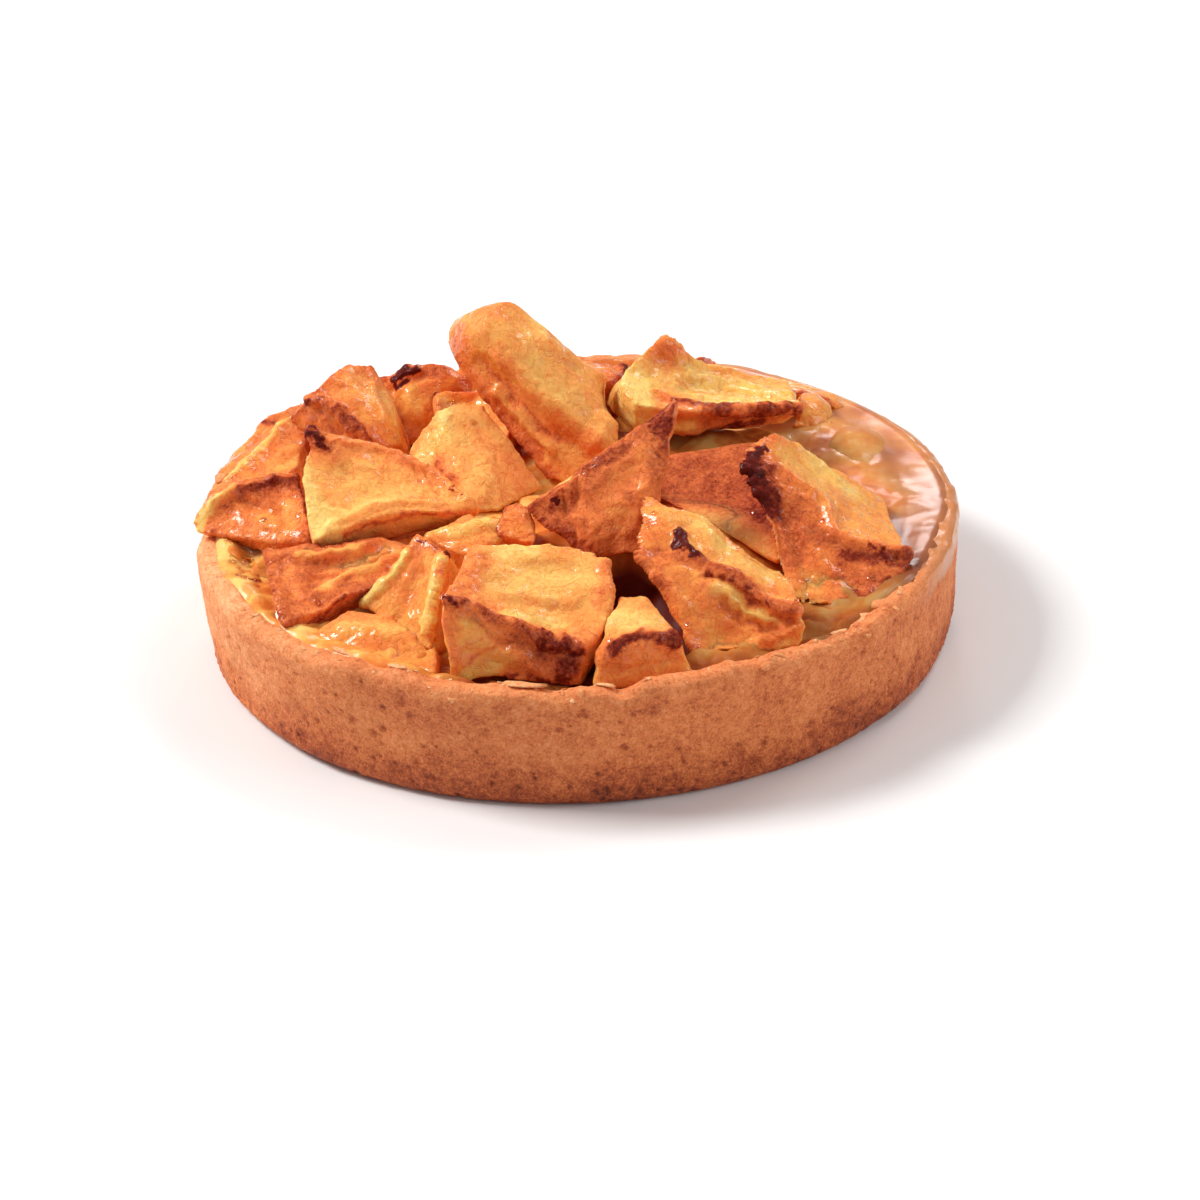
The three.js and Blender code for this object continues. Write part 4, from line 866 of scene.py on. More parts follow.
    # Lies flat in syrup at the front, wrinkled along its length.
    "apple_front_flat": [
        ("brown", 0.34, 1.2, (10, 72, 62), (41, 36, 45), (87, 7, 47)),
        ("wet", 1, 3, (26, 53, 54), (79, 26, 60)),
        ("brown", 0.2, 1.6, (29, 73, 80), (71, 65, 89)),
        ("raise", 0.4, 1.2, (25, 75, 78), (56, 64, 86), (82, 54, 82)),
        ("raise", -0.35, 1, (26, 56, 59), (56, 40, 64), (87, 29, 65)),
        ("raise", 0.25, 0.8, (33, 44, 29), (72, 18, 49)),
        ("brown", 0.36, 0.7, (29, 54, 59), (71, 31, 63)),
    ],
    # A thin pale ridge.
    "apple_middle_ridge": [
        ("raise", 0.6, 1.1, (6, 47, 72), (49, 50, 95), (83, 61, 97)),
        ("brown", 0.14, 0.9, (6, 47, 72), (49, 48, 94), (83, 61, 97)),
        ("brown", 0.42, 1.2, (26, 18, 45), (60, 19, 75)),
        ("brown", 0.3, 1.2, (83, 50, 94), (71, 30, 82)),
    ],
    # A scrap, barely raised.
    "apple_middle_scrap": [
        ("raise", 0.3, 1.2, (41, 46, 87), (49, 42, 85)),
    ],
    # A smooth hollowed cheek: painted dark towards its top as the slab's shadow, and paler low down
    # where light reaches it.
    "apple_right_hollow": [
        ("brown", 0.6, 7, (16, 74, 98), (51, 81, 94), (73, 85, 90)),
        ("brown", 0.6, 4, (23, 68, 85), (50, 74, 84)),
        ("brown", 0.3, 5, (33, 30, 50), (71, 8, 36)),
        ("raise", -0.7, 7, (11, 45, 62), (34, 40, 53), (72, 39, 50)),
        ("brown", 0.6, 2.4, (14, 73, 99), (45, 80, 95), (73, 85, 90)),
    ],
    # Sunk in the glaze at the back, and wet all over.
    "apple_back_right": [
        ("raise", -0.3, 5, (48, 58, 97), (77, 27, 82)),
        ("brown", 0.2, 2, (15, 47, 99), (74, 34, 86)),
        ("wet", 1.6, 3, (15, 47, 99), (73, 25, 84)),
    ],
    # Lies under the glaze, its left edge browned.
    "apple_right_glazed": [
        ("raise", -0.3, 6, (20, 56, 88), (66, 38, 77)),
        ("brown", 0.4, 1.2, (10, 46, 13), (61, 11, 46)),
    ],
}
# The even size of a piece's faces, 1.6 times as large on the hidden pieces at the back, how far the
# heat swelled it, and how far its faces and edges wander over what length, in millimetres.
FACE_SIZE = 0.27
REAR_FACES = 1.6
SWELL = 0.14
WANDER = ((0.7, 9), (0.42, 3.8), (0.13, 1.4))
# Flesh that is roasted more than the first amount dries to a crust, with rust round it of the second.
DRIED = 0.6
RUSTY = 0.55
# A fold stands up by this many times its amount, and marks, char and rust end at these many times
# their width.
FOLD = 1.3
MARK_REACH = 1.4
CHAR_REACH = 1.15
RUST_REACH = 3


def sharpness(piece, points, normals, rounds):
    """How far each point stands out, in millimetres, from the piece smoothed that many times."""
    softened = piece.modifiers.new("soften", "SMOOTH")
    softened.factor, softened.iterations = 0.9, rounds
    softer = piece.evaluated_get(bpy.context.evaluated_depsgraph_get()).data
    blunt = np.empty(len(points) * 3)
    softer.vertices.foreach_get("co", blunt)
    piece.modifiers.remove(softened)
    return np.sum((points - blunt.reshape(-1, 3)) * normals, axis=1) / MM


# A map of how high the heap stands over each square millimetre, felt from above and then blurred:
# what lies well under it is down between the pieces. Side of the map and height of the sky over the
# table in millimetres, and how often it is blurred.
SIDE = 120
SKY = 60
BLURS = 10
heap = np.zeros((SIDE, SIDE))
sight = bpy.context.evaluated_depsgraph_get()
for x in range(SIDE):
    for y in range(SIDE):
        start = Vector((x - SIDE / 2, y - SIDE / 2, SKY)) * MM
        found, landing, *_ = bpy.context.scene.ray_cast(sight, start, Vector((0, 0, -1)))
        heap[x, y] = landing.z / MM if found else 0
for _ in range(BLURS):
    for axis in (0, 1):
        heap = (np.roll(heap, 1, axis) + 2 * heap + np.roll(heap, -1, axis)) / 4


def nook(points):
    """1 for what lies down between the pieces, 0 for what stands free."""
    on_map = np.clip(points[:, :2] / MM + SIDE / 2, 0, SIDE - 1.001)
    square = np.floor(on_map).astype(int)
    x, y = square.T
    u, v = (on_map - square).T
    level = (heap[x, y] * (1 - u) * (1 - v) + heap[x + 1, y] * u * (1 - v)
             + heap[x, y + 1] * (1 - u) * v + heap[x + 1, y + 1] * u * v)
    return smooth(0.5, 6.0, level - points[:, 2] / MM)


def cut_piece(name, rounds):
    """A copy of an apple piece's solid in small even faces, its edges smoothed round that often."""
    piece = bpy.data.objects.new(name.replace("apple", "roast_and_painted_light"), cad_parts[name].data.copy())
    bpy.context.scene.collection.objects.link(piece)
    bpy.ops.object.select_all(action="DESELECT")
    piece.select_set(True)
    bpy.context.view_layer.objects.active = piece
    bpy.ops.object.mode_set(mode="EDIT")
    bpy.ops.mesh.select_all(action="SELECT")
    bpy.ops.mesh.remove_doubles(threshold=0.002 * MM)
    bpy.ops.object.mode_set(mode="OBJECT")
    even = piece.modifiers.new("even", "REMESH")
    even.mode, even.voxel_size = "VOXEL", FACE_SIZE * MM * (REAR_FACES if "rear" in name else 1)
    bpy.ops.object.modifier_apply(modifier=even.name)
    rounding = piece.modifiers.new("round", "SMOOTH")
    rounding.factor, rounding.iterations = 0.5, rounds
    bpy.ops.object.modifier_apply(modifier=rounding.name)
    return piece


def slump(piece, low, high, left, centre, sunk):
    """Shrinks or swells a piece about a place in its box, and sinks its top towards its rim."""
    centre = low + np.array(centre) * (high - low)
    points = centre + (points_of(piece) - centre) * left
    half = (points.max(axis=0) - points.min(axis=0)) / 2
    from_middle = np.linalg.norm(((points - points.min(axis=0)) / half - 1)[:, :2], axis=1)
    points[:, 2] = low[2] + (points[:, 2] - low[2]) * (1 - sunk * np.clip(from_middle, 0, 1) ** 3)
    put_points(piece, points)


def plainly_roasted(points, above, facing_up, edge, shoulder, seed, roast_and_painted_light):
    """For a piece with no marks of its own: it sank in the middle, and its upper edges curled and
    dried in places, one corner of them black. Returns its roast, its char and how it is raised."""
    sunk = smooth(0.6, 0.9, facing_up) * smooth(0.9, 0.2, shoulder)
    patchy = smooth(-0.25, 0.35, lumps(points, 7, seed + 4.4))
    dried = smooth(0.16, 0.4, edge) * smooth(0.5, 0.8, above) * patchy
    roast_and_painted_light = roast_and_painted_light + ((0.76 - roast_and_painted_light) * dried - 0.1 * sunk)
    corner = points[np.argmax(edge + 4 * above + lumps(points, 20, seed))]
    burnt = 1.2 * dried * smooth(6, 2, np.linalg.norm(points - corner, axis=1) / MM)
    return roast_and_painted_light, burnt, 0.35 * dried - 1.1 * sunk


def roasted_by_marks(marks, low, high, points, aside, coarse, roast_and_painted_light, wet):
    """What its marks do to a piece: returns its roast, char and syrup, and how it is raised."""
    burnt, raised = np.zeros(len(points)), np.zeros(len(points))
    for kind, amount, width, *places in marks:
        path = [low + np.array(place) / 100 * (high - low) for place in places]
        if kind == "raise":
            raised += FOLD * amount * along(0.5 * (points + aside), path, MARK_REACH * width)
        elif kind == "burnt":
            share = amount * along(aside, path, CHAR_REACH * width)
            raised += share * (0.12 + 0.2 * coarse)
            burnt = np.maximum(burnt, share)
        elif kind == "wet":
            wet = np.maximum(wet, amount * smooth(0, 0.4, along(aside, path, MARK_REACH * width)))
        else:
            share = along(aside, path, MARK_REACH * width)
            if amount > DRIED:
                # A dried ridge: a narrow rough crust in a wide rusty halo.
                halo = 0.7 * along(points, path, RUST_REACH * width)
                roast_and_painted_light = roast_and_painted_light + np.maximum(RUSTY - roast_and_painted_light, 0) * halo
                share = smooth(0.3, 0.85, share)
                raised += share * (0.08 + 0.1 * coarse)
            roast_and_painted_light = roast_and_painted_light + (amount - roast_and_painted_light) * share
    return roast_and_painted_light, burnt, wet, raised


def roasted(name):
    """The visible apple piece for a solid: rounded, folded, wrinkled and browned."""
    cooked, wet, rounds, wrinkled = COOKED[name]
    low, high = (np.array(corner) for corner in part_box(name))
    piece = cut_piece(name, rounds)
    if name in SLUMPED:
        slump(piece, low, high, *SLUMPED[name])
    points, normals = points_of(piece), points_of(piece, "normal")
    edge, shoulder = (sharpness(piece, points, normals, times) for times in (32, 300))
    above = (points[:, 2] - low[2]) / (high[2] - low[2])
    up = smooth(0.2, 0.9, above)
    hidden = nook(points)

    # Its fibres run the long way through it, so this squeezes space for noise that stretches along
    # them. The seed puts each piece at a place of its own in all the noise.
    _, _, axes = np.linalg.svd((points - points.mean(axis=0))[::7], full_matrices=False)
    across = points @ axes.T * (0.3, 1, 1)
    seed = sum(map(ord, name)) % 97
    coarse = lumps(points, 0.75, seed + 9.1)
    # The marks wander a little, as browning does, so each point is looked up slightly aside, by a
    # noise of its own for each axis.
    aside = points + 0.4 * MM * np.stack([
        lumps(points, 1.8, seed + k) + 0.9 * lumps(points, 0.7, seed + k)
        for k in (0.3, 20.7, 41.1)], axis=1)

    # It roasts most on its upper edges and more in some patches; down in the crevices it is painted
    # darker, as shade.
    patchy = smooth(-0.4, 0.6, lumps(points, 5, seed + 7.7))
    roast_and_painted_light = cooked + 0.13 * smooth(0.3, 1.4, shoulder) * up + 0.15 * hidden
    roast_and_painted_light += smooth(0.1, 0.4, edge) * (0.05 + 0.24 * patchy) * (0.35 + 0.65 * up)
    roast_and_painted_light += (0.01 + 0.02 * wrinkled) * (lumps(points, 4, seed + 2.2) + lumps(across, 1.1, seed + 6.9))
    if name in MARKS:
        roast_and_painted_light, burnt, wet, raised = roasted_by_marks(
            MARKS[name], low, high, points, aside, coarse, roast_and_painted_light, wet)
    else:
        roast_and_painted_light, burnt, raised = plainly_roasted(
            points, above, normals[:, 2], edge, shoulder, seed, roast_and_painted_light)

    # Creases across the fibres and finer ones all over, swollen edges, and the grit of dried flesh.
    dry = smooth(0.5, 0.75, roast_and_painted_light)
    folds = smooth(-0.2, 0.5, lumps(points, 7, seed + 3.3))
    deep, fine = np.abs(lumps(across, 3.2, seed + 5.5)), np.abs(lumps(points, 1.5, seed + 8.2))
    creased = (0.02 + 0.16 * folds) * smooth(0.24, 0, deep)
    creased += (0.04 + 0.05 * folds + 0.04 * dry) * smooth(0.3, 0, fine)
    wrinkles = 0.16 * lumps(points, 6, seed) + 0.06 * lumps(across, 2.2, seed + 6.2) - creased
    raised += wrinkled * wrinkles
    raised += 0.12 * smooth(0.1, 0.4, edge) * (1 + coarse)
    blisters = (0.015 + 0.02 * np.minimum(wet, 1.5)) * lumps(points, 0.5, seed + 3.9)
    raised += (0.02 + 0.03 * dry) * coarse + blisters
    # No face stays flat and no edge straight.
    points = points + (0.3 + 0.7 * wrinkled) * MM * np.stack([
        sum(far * lumps(points, size, seed + k) for far, size in WANDER)
        for k in (1.9, 31.3, 61.7)], axis=1)
    put_points(piece, points + normals * ((raised + SWELL) * MM)[:, None])
    bpy.ops.object.shade_smooth()

    mark(piece, "roast_and_painted_light", roast_and_painted_light)
    mark(piece, "burnt", burnt)
    mark(piece, "wet", wet + 0.3 * hidden)
    piece.data.materials.clear()
    if name == "apple_right_glazed":
        # It lies in the glaze and stewed through, as the filling did.
        mark(piece, "gap", np.full(len(points), 0.12))
        mark(piece, "pool", np.full(len(points), 0.45))
        mark(piece, "lump", 0.55 + 0.4 * lumps(points, 4.2, 8.8))
        piece.data.materials.append(stewed)
    else:
        piece.data.materials.append(flesh)
    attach(piece, "root")
    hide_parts(name)


# Roasted apple: translucent flesh that goes from yellow through peach and rust to black, always a
# little grainy from its cells. The same scale carries painted shade in the crevices and on the hollow
# cheek, and painted light on some pale left edges. The sugar that it sweated glistens in small wet
# spots, least where it dried or charred. Apple cells are a quarter of a millimetre wide and wouldn't
# show, so they are drawn at 0.42 mm.
flesh = new_material("roast_and_painted_lighted_apple_flesh")
where = node(flesh, "TexCoord").outputs["Object"]
roast_and_painted_light = node(flesh, "Attribute", attribute_name="roast_and_painted_light").outputs["Fac"]
burnt = node(flesh, "Attribute", attribute_name="burnt").outputs["Fac"]
wet = node(flesh, "Attribute", attribute_name="wet").outputs["Fac"]
cells = node(flesh, "TexNoise", {
    "Vector": where, "Scale": 1 / (0.42 * MM), "Detail": 4, "Roughness": 0.65})
grit = node(flesh, "TexNoise", {"Vector": where, "Scale": 1 / (0.6 * MM), "Detail": 2, "Roughness": 0.5})
patch = node(flesh, "TexNoise", {"Vector": where, "Scale": 1 / (3.0 * MM), "Detail": 4, "Roughness": 0.6})
# Fine veins, where the noise passes its middle: creases in the skin of the roasted flesh.
web = node(flesh, "TexNoise", {
    "Vector": where, "Scale": 1 / (1.4 * MM), "Detail": 2, "Roughness": 0.5, "Distortion": 0.9})
web = node(flesh, "Math", {0: web.outputs["Fac"], 1: 0.5}, operation="SUBTRACT")
web = node(flesh, "Math", {0: web.outputs[0]}, operation="ABSOLUTE")
vein = node(flesh, "MapRange", {
    "Value": web.outputs[0], "From Max": 0.035, "To Min": 1.0, "To Max": 0.0})
depth = node(flesh, "Math", {0: vein.outputs[0], 1: 0.075, 2: roast_and_painted_light}, operation="MULTIPLY_ADD")
for source, amount in ((cells, 0.06), (patch, 0.065)):
    share = node(flesh, "MapRange", {
        "Value": source.outputs["Fac"],
        "From Min": 0.3, "From Max": 0.7, "To Min": -amount, "To Max": amount})
    depth = node(flesh, "Math", {0: depth.outputs[0], 1: share.outputs[0]}, operation="ADD")
# The browner it is, the grittier: dried edges are a crust of small dark grains.
grains = node(flesh, "Math", {0: grit.outputs["Fac"], 1: 0.47}, operation="SUBTRACT")
crusty = node(flesh, "MapRange", {
    "Value": roast_and_painted_light, "From Min": 0.5, "From Max": 0.76, "To Min": 0.06, "To Max": 0.5})
depth = node(flesh, "Math", {
    0: grains.outputs[0], 1: crusty.outputs[0], 2: depth.outputs[0]}, operation="MULTIPLY_ADD")
# Charring takes over from the roast in the same grains.
near = node(flesh, "MapRange", {"Value": burnt, "From Min": 0.1, "From Max": 0.5, "To Max": 1.2})
char = node(flesh, "Math", {
    0: grains.outputs[0], 1: near.outputs[0], 2: burnt}, operation="MULTIPLY_ADD")
char = node(flesh, "MapRange", {"Value": char.outputs[0], "From Min": 0.3, "From Max": 0.65})
left = node(flesh, "Math", {0: 0.97, 1: depth.outputs[0]}, operation="SUBTRACT")
depth = node(flesh, "Math", {
    0: char.outputs[0], 1: left.outputs[0], 2: depth.outputs[0]}, operation="MULTIPLY_ADD")
tint = node(flesh, "ValToRGB", {"Fac": depth.outputs[0]}, stops=(
    (0.0, "#ffdf8e"), (1.0, "#58100a"), (0.16, "#ffc874"), (0.32, "#fca95c"), (0.47, "#f28a4c"),
    (0.62, "#cc6539"), (0.76, "#9c3c22"), (0.88, "#761e10")))
soaked = node(flesh, "Mix", {
    0: wet, 6: tint.outputs[0], 7: linear("#fff2d6")}, data_type="RGBA", blend_type="MULTIPLY")
rougher = node(flesh, "MapRange", {
    "Value": roast_and_painted_light, "From Min": 0.42, "From Max": 0.68, "To Min": 0.35, "To Max": 0.9})
bump = node(flesh, "Bump", {
    "Height": cells.outputs["Fac"], "Strength": rougher.outputs[0], "Distance": 0.3 * MM})
bump = node(flesh, "Bump", {
    "Height": grit.outputs["Fac"], "Normal": bump.outputs[0], "Strength": 0.4, "Distance": 0.3 * MM})
bump = node(flesh, "Bump", {
    "Height": vein.outputs[0], "Normal": bump.outputs[0],
    "Strength": 0.6, "Distance": 0.18 * MM}, invert=True)
# The film of syrup lies in small spots, and it is thin where the flesh dried or charred.
damp = node(flesh, "TexNoise", {"Vector": where, "Scale": 1 / (1.3 * MM), "Detail": 3, "Roughness": 0.6})
damp = node(flesh, "Math", {0: wet, 1: 0.24, 2: damp.outputs["Fac"]}, operation="MULTIPLY_ADD")
film = node(flesh, "MapRange", {"Value": damp.outputs[0], "From Min": 0.6, "From Max": 0.72})
crisp = node(flesh, "MapRange", {
    "Value": depth.outputs[0], "From Min": 0.5, "From Max": 0.8, "To Min": 1.0, "To Max": 0.35})
film = node(flesh, "Math", {0: film.outputs[0], 1: crisp.outputs[0]}, operation="MULTIPLY")
sheen = node(flesh, "MapRange", {"Value": film.outputs[0], "To Min": 0.5, "To Max": 0.14})
shell = node(flesh, "MapRange", {"Value": film.outputs[0], "To Min": 0.0, "To Max": 0.8})
surface = node(flesh, "BsdfPrincipled", {
    "Base Color": soaked.outputs[2], "Normal": bump.outputs[0], "Roughness": sheen.outputs[0],
    "Coat Weight": shell.outputs[0], "Coat Roughness": 0.12, "Coat IOR": 1.45, "IOR": 1.42,
    "Specular IOR Level": 0.12,
    "Subsurface Weight": 0.6, "Subsurface Radius": (1.0, 0.6, 0.3), "Subsurface Scale": 1.0 * MM})
node(flesh, "OutputMaterial", {"Surface": surface.outputs[0]})

for name in sorted(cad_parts):
    if name.startswith("apple_"):
        roasted(name)

# -------------------------------------------------------------------------------------------------
# What clings to the top: shreds of stewed pulp pressed out between the pieces, beads of syrup that
# ran together while the tartlet cooled, and crumbs and flakes broken off the rim of the case. Each
# is let fall on what lies under it, and sunk in a little.

bpy.ops.object.select_all(action="DESELECT")
BALLS = {}
for fineness in (2, 3):
    bpy.ops.mesh.primitive_ico_sphere_add(subdivisions=fineness, radius=MM)
    ball = bpy.context.object
    BALLS[fineness] = points_of(ball) / MM, [tuple(face.vertices) for face in ball.data.polygons]
    bpy.data.objects.remove(ball)
sight = bpy.context.evaluated_depsgraph_get()
dice = np.random.default_rng(23)


def fallen(x, y):
    """Where something let fall there lands on the visible tartlet: its place, the way out, on what."""
    start = Vector((x, y, SKY * MM))
    while True:
        found, landing, out, _, thing, _ = bpy.context.scene.ray_cast(sight, start, Vector((0, 0, -1)))
        if not found:
            return None
        if thing.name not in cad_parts:
            return np.array(landing), np.array(out), thing.name
        start = landing - Vector((0, 0, 0.001 * MM))


def fallen_round(at, reach):
    """The same at an angle round the case, that many millimetres from its middle."""
    return fallen(reach * math.cos(at) * MM, reach * math.sin(at) * MM)


def any_turn():
    """A turn in degrees, by chance."""
    return dice.uniform(0, 360)


def strewn(name, lying, material, fineness, rough, sunk):
    """One mesh of many small lumps. Each is a ball drawn out to three radii, turned to lie along the
    surface and dented; lying holds place, way out, the three radii and a turn in degrees."""
    ball_points, ball_faces = BALLS[fineness]
    points, faces = [], []
    for number, (place, out, radii, turned_by) in enumerate(lying):
        out = Vector(out)
        side = out.orthogonal().normalized()
        side = Matrix.Rotation(math.radians(turned_by), 3, out) @ side
        axes = np.array((side, out.cross(side), out))
        shape = ball_points * (1 + rough * lumps(ball_points * MM, 0.9, number * 1.7)[:, None])
        first = number * len(ball_points)
        faces += [tuple(corner + first for corner in face) for face in ball_faces]
        points.append(place + (shape * radii * MM) @ axes - np.array(out) * radii[2] * sunk * MM)
    mesh = bpy.data.meshes.new(name)
    mesh.from_pydata(np.concatenate(points).tolist(), [], faces)
    piece = bpy.data.objects.new(name, mesh)
    bpy.context.scene.collection.objects.link(piece)
    mesh.polygons.foreach_set("use_smooth", [True] * len(mesh.polygons))
    mesh.materials.append(material)
    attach(piece, "root")
    return piece


# Pulp: the first shreds lie at the left, where the filling shows, and smaller ones in the crevices,
# but none deep in the gap, and none towards the rim anywhere else than on the left.
SHREDS, SHREDS_AT_LEFT = 70, 16
LOWEST_SHRED, OUTERMOST_SHRED = 13.5, 30
lying = []
while len(lying) < SHREDS:
    at_left = len(lying) < SHREDS_AT_LEFT
    if at_left:
        at, reach = math.radians(dice.uniform(168, 200)), dice.uniform(41, 45)
    else:
        at, reach = dice.uniform(-math.pi, math.pi), 45 * math.sqrt(dice.uniform(0, 1))
    landed = fallen_round(at, reach)
    if landed is None or landed[2] == "pastry_case" or landed[0][2] < LOWEST_SHRED * MM:
        continue
    place, out, under = landed
    if under != "stewed_apple" and nook(place[None])[0] < dice.uniform(0.25, 0.9):
        continue
    if -160 < math.degrees(at) < 92 and reach > OUTERMOST_SHRED:
        continue
    size = dice.uniform(0.8, 1.5) if at_left else dice.uniform(0.5, 1.1)
    lying.append((place, out, size * np.array((1.4, 1.0, 0.4)), any_turn()))
pulp = strewn("apple_pulp", lying, stewed, 3, 0.6, 0.75)
shade = np.repeat(dice.uniform(0.3, 0.6, len(lying)), len(BALLS[3][0]))
mark(pulp, "gap", np.zeros(len(shade)))
mark(pulp, "pool", np.zeros(len(shade)))
mark(pulp, "lump", shade)

# Syrup: a few drops as large as lentils at known places, given by piece, hundredths of its box and
# radius, that hang a little downhill, and many as small as pinheads in the crevices.
DOWNHILL = np.array((-0.42, -0.46, 0.78))
DROPS = [
    ("apple_left_low", 40, 24, 0.55), ("apple_left_triangle", 11, 2, 0.6),
    ("apple_left_low", 31, 74, 0.6), ("apple_front_twist", 33, 3, 0.7),
    ("apple_front_twist", 30, 12, 0.5), ("apple_right_wedge", 35, 16, 0.6),
    ("apple_right_wedge", 49, 42, 0.45), ("apple_front_wedge", 16, 12, 0.4),
    ("apple_right_wedge", 8, 77, 0.4), ("apple_left_far", 57, 39, 0.45),
    ("apple_left_far", 86, 35, 0.5), ("apple_front_block", 1, 20, 0.5),
    ("apple_front_twist", 96, 17, 0.35), ("apple_front_twist", 13, 75, 0.45),
    ("apple_front_twist", 9, 65, 0.4), ("apple_right_wedge", 76, 15, 0.45),
    ("apple_right_wedge", 66, 9, 0.4),
]


def hung(landed, radii):
    """A drop that sags downhill from where it landed."""
    return landed[0], Vector(landed[1] + DOWNHILL).normalized(), radii, any_turn()


lying = []
for name, across, along_it, size in DROPS:
    low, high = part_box(name)
    landed = fallen(
        low.x + (high.x - low.x) * across / 100, low.y + (high.y - low.y) * along_it / 100)
    if landed:
        lying.append(hung(landed, size * np.array((1.2, 0.85, 0.4))))
# The largest hangs at the corner of the lowest piece on the left.
low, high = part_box("apple_left_low")
place = np.array((low.x + 3.1 * MM, low.y + 2.8 * MM, low.z + 2.6 * MM))
lying.append((place, DOWNHILL, np.array((1.4, 1.0, 0.22)), 60))
# A run of them glistens on the pulp at the left, and the small ones lie anywhere low.
LARGE_BEADS, ALL_BEADS = 60, 170
while len(lying) < LARGE_BEADS:
    at, reach = math.radians(dice.normal(186, 9)), dice.uniform(41.5, 46)
    landed = fallen_round(at, reach)
    if landed and landed[2] == "stewed_apple":
        lying.append(hung(landed, dice.uniform(0.25, 0.6) * np.array((1.2, 0.85, 0.3))))
while len(lying) < ALL_BEADS:
    at, reach = dice.uniform(-math.pi, math.pi), 47 * math.sqrt(dice.uniform(0, 1))
    landed = fallen_round(at, reach)
    if landed is None or landed[2] == "pastry_case":
        continue
    if nook(landed[0][None])[0] < dice.uniform(0.05, 0.8):
        continue
    size = dice.uniform(0.12, 0.32)
    lying.append((landed[0], landed[1], size * np.array((1.2, 0.9, 0.45)), any_turn()))

# Boiled apple syrup: clear amber and wet, so each bead shows one small bright light.
amber_syrup = new_material("boiled_apple_syrup")
where = node(amber_syrup, "TexCoord").outputs["Object"]
cloud = node(amber_syrup, "TexNoise", {"Vector": where, "Scale": 1 / (2.5 * MM), "Detail": 2})
tint = node(amber_syrup, "ValToRGB", {"Fac": cloud.outputs["Fac"]}, stops=(
    (0.3, "#fbd9ac"), (0.7, "#ffeccc")))
haze = node(amber_syrup, "MapRange", {"Value": cloud.outputs["Fac"], "To Min": 0.02, "To Max": 0.1})
surface = node(amber_syrup, "BsdfPrincipled", {
    "Base Color": tint.outputs[0], "Roughness": haze.outputs[0], "IOR": 1.1, "Coat Weight": 1.0,
    "Coat Roughness": 0.05, "Coat IOR": 1.6, "Transmission Weight": 1.0})
node(amber_syrup, "OutputMaterial", {"Surface": surface.outputs[0]})
strewn("syrup_beads", lying, amber_syrup, 3, 0.12, 0.1)

# Crumbs and flakes: on the rim, most at the front, where the glaze didn't reach. The flakes lie at
# known places, given in degrees round the case, millimetres from its middle and three radii, flat
# and along the rim.
FLAKES = [
    (-98.2, 47.4, (2.6, 1.2, 0.3)), (-86.5, 47.7, (1.1, 0.6, 0.16)), (-47, 46.6, (1.6, 0.7, 0.2)),
    (-42, 46.8, (2.4, 0.9, 0.28)), (-37.5, 47.0, (1.8, 0.8, 0.24)), (-128, 46.8, (1.8, 0.4, 0.15)),
    (-118, 47.4, (1.1, 0.5, 0.14)), (172, 46.9, (1.3, 0.7, 0.25)), (178, 47.2, (1.1, 0.6, 0.25)),
]
CRUMB_RADII, CRUMB_SHARES = [0.16, 0.26, 0.45], [0.5, 0.38, 0.12]
FLAKES_AND_CRUMBS = 150
lying = []
for degrees, reach, radii in FLAKES:
    at = math.radians(degrees)
    place, out, _ = fallen_round(at, reach)
    out = (Vector(out) + Vector((0, 0, 1.5))).normalized()
    side = out.orthogonal()
    along_rim = Vector((-math.sin(at), math.cos(at), 0))
    turned_by = math.degrees(math.atan2(along_rim.dot(out.cross(side)), along_rim.dot(side)))
    lying.append((place, out, np.array(radii), turned_by + dice.uniform(-8, 8)))
while len(lying) < FLAKES_AND_CRUMBS:
    at, reach = dice.uniform(-math.pi, math.pi), dice.choice([46.6, 48.4]) + dice.normal(0, 0.7)
    landed = fallen_round(at, reach)
    if landed is None or -26 < math.degrees(at) < 88 or landed[2] != "pastry_case":
        continue
    size = dice.choice(CRUMB_RADII, p=CRUMB_SHARES) * dice.uniform(0.8, 1.3)
    lying.append((landed[0], landed[1], size * np.array((1.3, 1.0, 0.4)), any_turn()))
crumbs = strewn("pastry_crumbs", lying, shortcrust, 2, 0.45, -0.2)
mark(crumbs, "bake_and_painted_light", np.repeat(dice.uniform(0.0, 0.36, len(lying)), len(BALLS[2][0])))
mark(crumbs, "pinhole_shade", np.zeros(len(crumbs.data.vertices)))
mark(crumbs, "glazed", np.zeros(len(crumbs.data.vertices)))

# -------------------------------------------------------------------------------------------------
# The stage: a plain pale table, one large soft light from the upper left, two small windows far at
# the back that the glaze mirrors, two weaker lights from the right that fill the shadows, and an
# even pale room.

bpy.ops.object.select_all(action="DESELECT")
bpy.ops.mesh.primitive_plane_add(size=6)
table = bpy.context.object
table.name = "table"
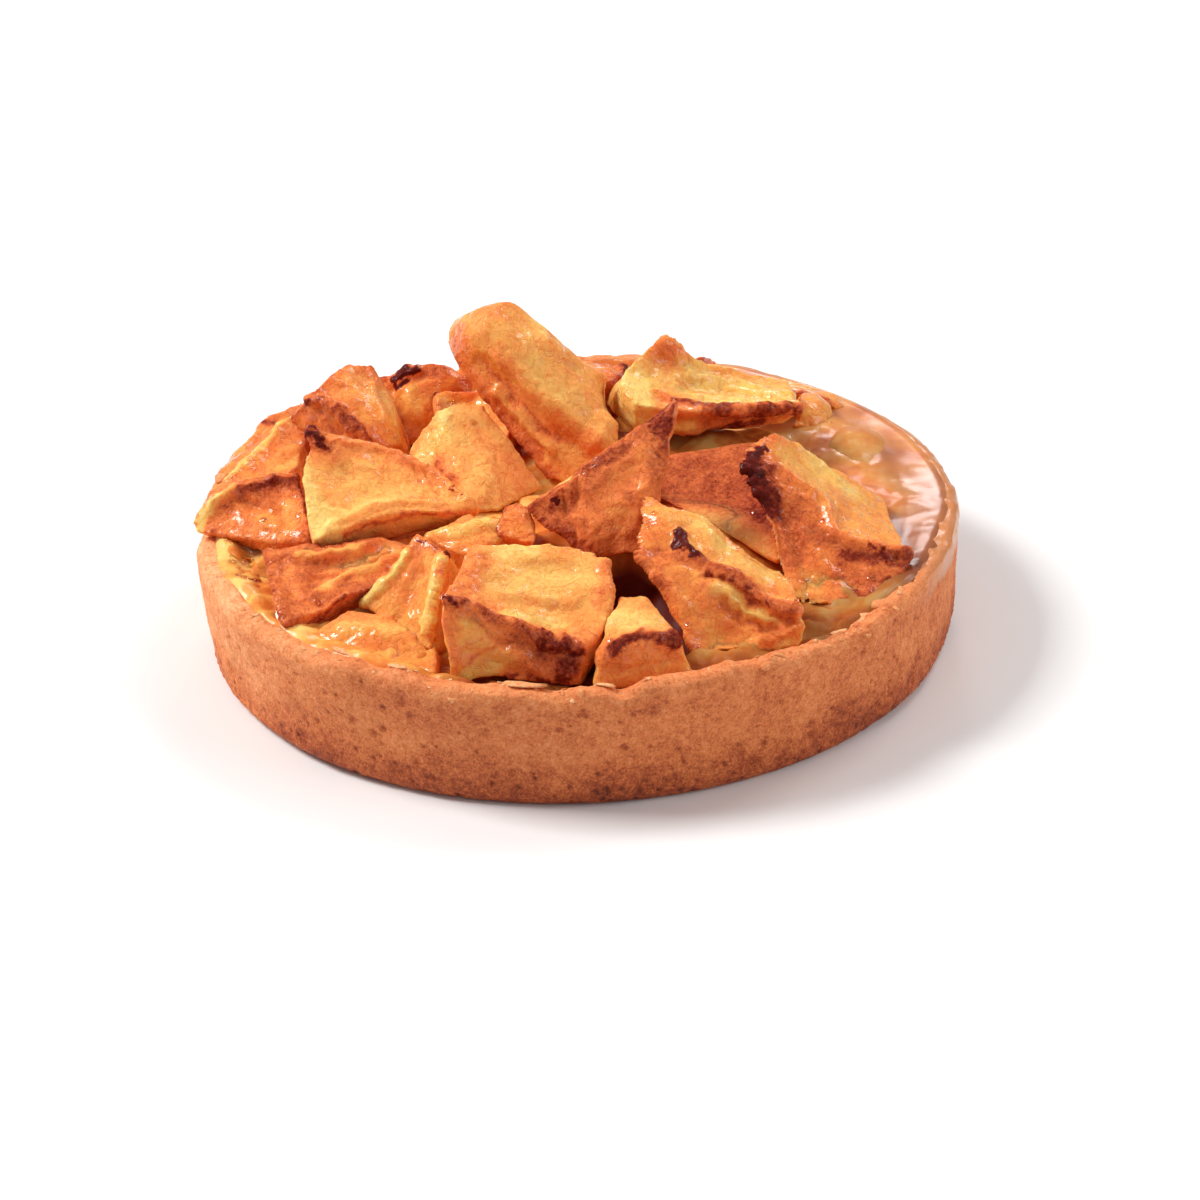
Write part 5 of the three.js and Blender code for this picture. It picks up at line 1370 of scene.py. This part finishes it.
# Matt white paint, a very little uneven over some centimetres, that takes soft shadows.
paint = new_material("matt_white_table")
where = node(paint, "TexCoord").outputs["Object"]
uneven = node(paint, "TexNoise", {"Vector": where, "Scale": 1 / (40 * MM), "Detail": 2})
shade = node(paint, "ValToRGB", {"Fac": uneven.outputs["Fac"]}, stops=(
    (0.3, "#f1f2f4"), (0.7, "#f4f5f6")))
surface = node(paint, "BsdfPrincipled", {"Base Color": shade.outputs[0], "Roughness": 0.5})
node(paint, "OutputMaterial", {"Surface": surface.outputs[0]})
table.data.materials.append(paint)

room = bpy.data.worlds.new("room")
bpy.context.scene.world = room
room.use_nodes = True
room.node_tree.nodes["Background"].inputs["Color"].default_value = (1, 1, 1, 1)
room.node_tree.nodes["Background"].inputs["Strength"].default_value = 0.33


def softbox(name, place, size, power, tint):
    """A square light that faces the tartlet."""
    lamp = bpy.data.lights.new(name, "AREA")
    lamp.shape, lamp.size, lamp.energy, lamp.color = "SQUARE", size, power, tint
    light = bpy.data.objects.new(name, lamp)
    bpy.context.scene.collection.objects.link(light)
    light.location = place
    light.rotation_euler = (-Vector(place)).to_track_quat("-Z", "Y").to_euler()


# Place and size in metres, power in watts, and a tint.
softbox("key", (-0.75, 0.2, 0.85), 0.42, 12.8, (1, 0.985, 0.96))
softbox("window", (0.112, 0.769, 0.42), 0.08, 0.15, (1, 0.93, 0.93))
softbox("far_window", (0.05, 0.87, 0.42), 0.1, 0.3, (1, 0.96, 0.96))
softbox("back_right", (0.5, 0.5, 0.9), 0.4, 3.0, (1, 0.97, 0.94))
softbox("front_right", (0.8, -0.3, 0.5), 0.5, 2.8, (1, 0.98, 0.96))

# The camera looks down at the front, from half a metre away.
CAMERA_REACH = 0.5
elevation, roll = math.radians(27.65), math.radians(-2.19)
aim = Vector((2.59, 0, 2.71)) * MM
view = bpy.data.cameras.new("camera")
view.lens, view.sensor_width = 113.67, 36
view.clip_start, view.clip_end = 0.01, 20
camera = bpy.data.objects.new("camera", view)
bpy.context.scene.collection.objects.link(camera)
camera.location = aim + CAMERA_REACH * Vector((0, -math.cos(elevation), math.sin(elevation)))
turn = Matrix.Rotation(math.pi / 2 - elevation, 3, "X") @ Matrix.Rotation(roll, 3, "Z")
camera.rotation_euler = turn.to_euler()
bpy.context.scene.camera = camera
bpy.context.scene.view_settings.view_transform = "Standard"
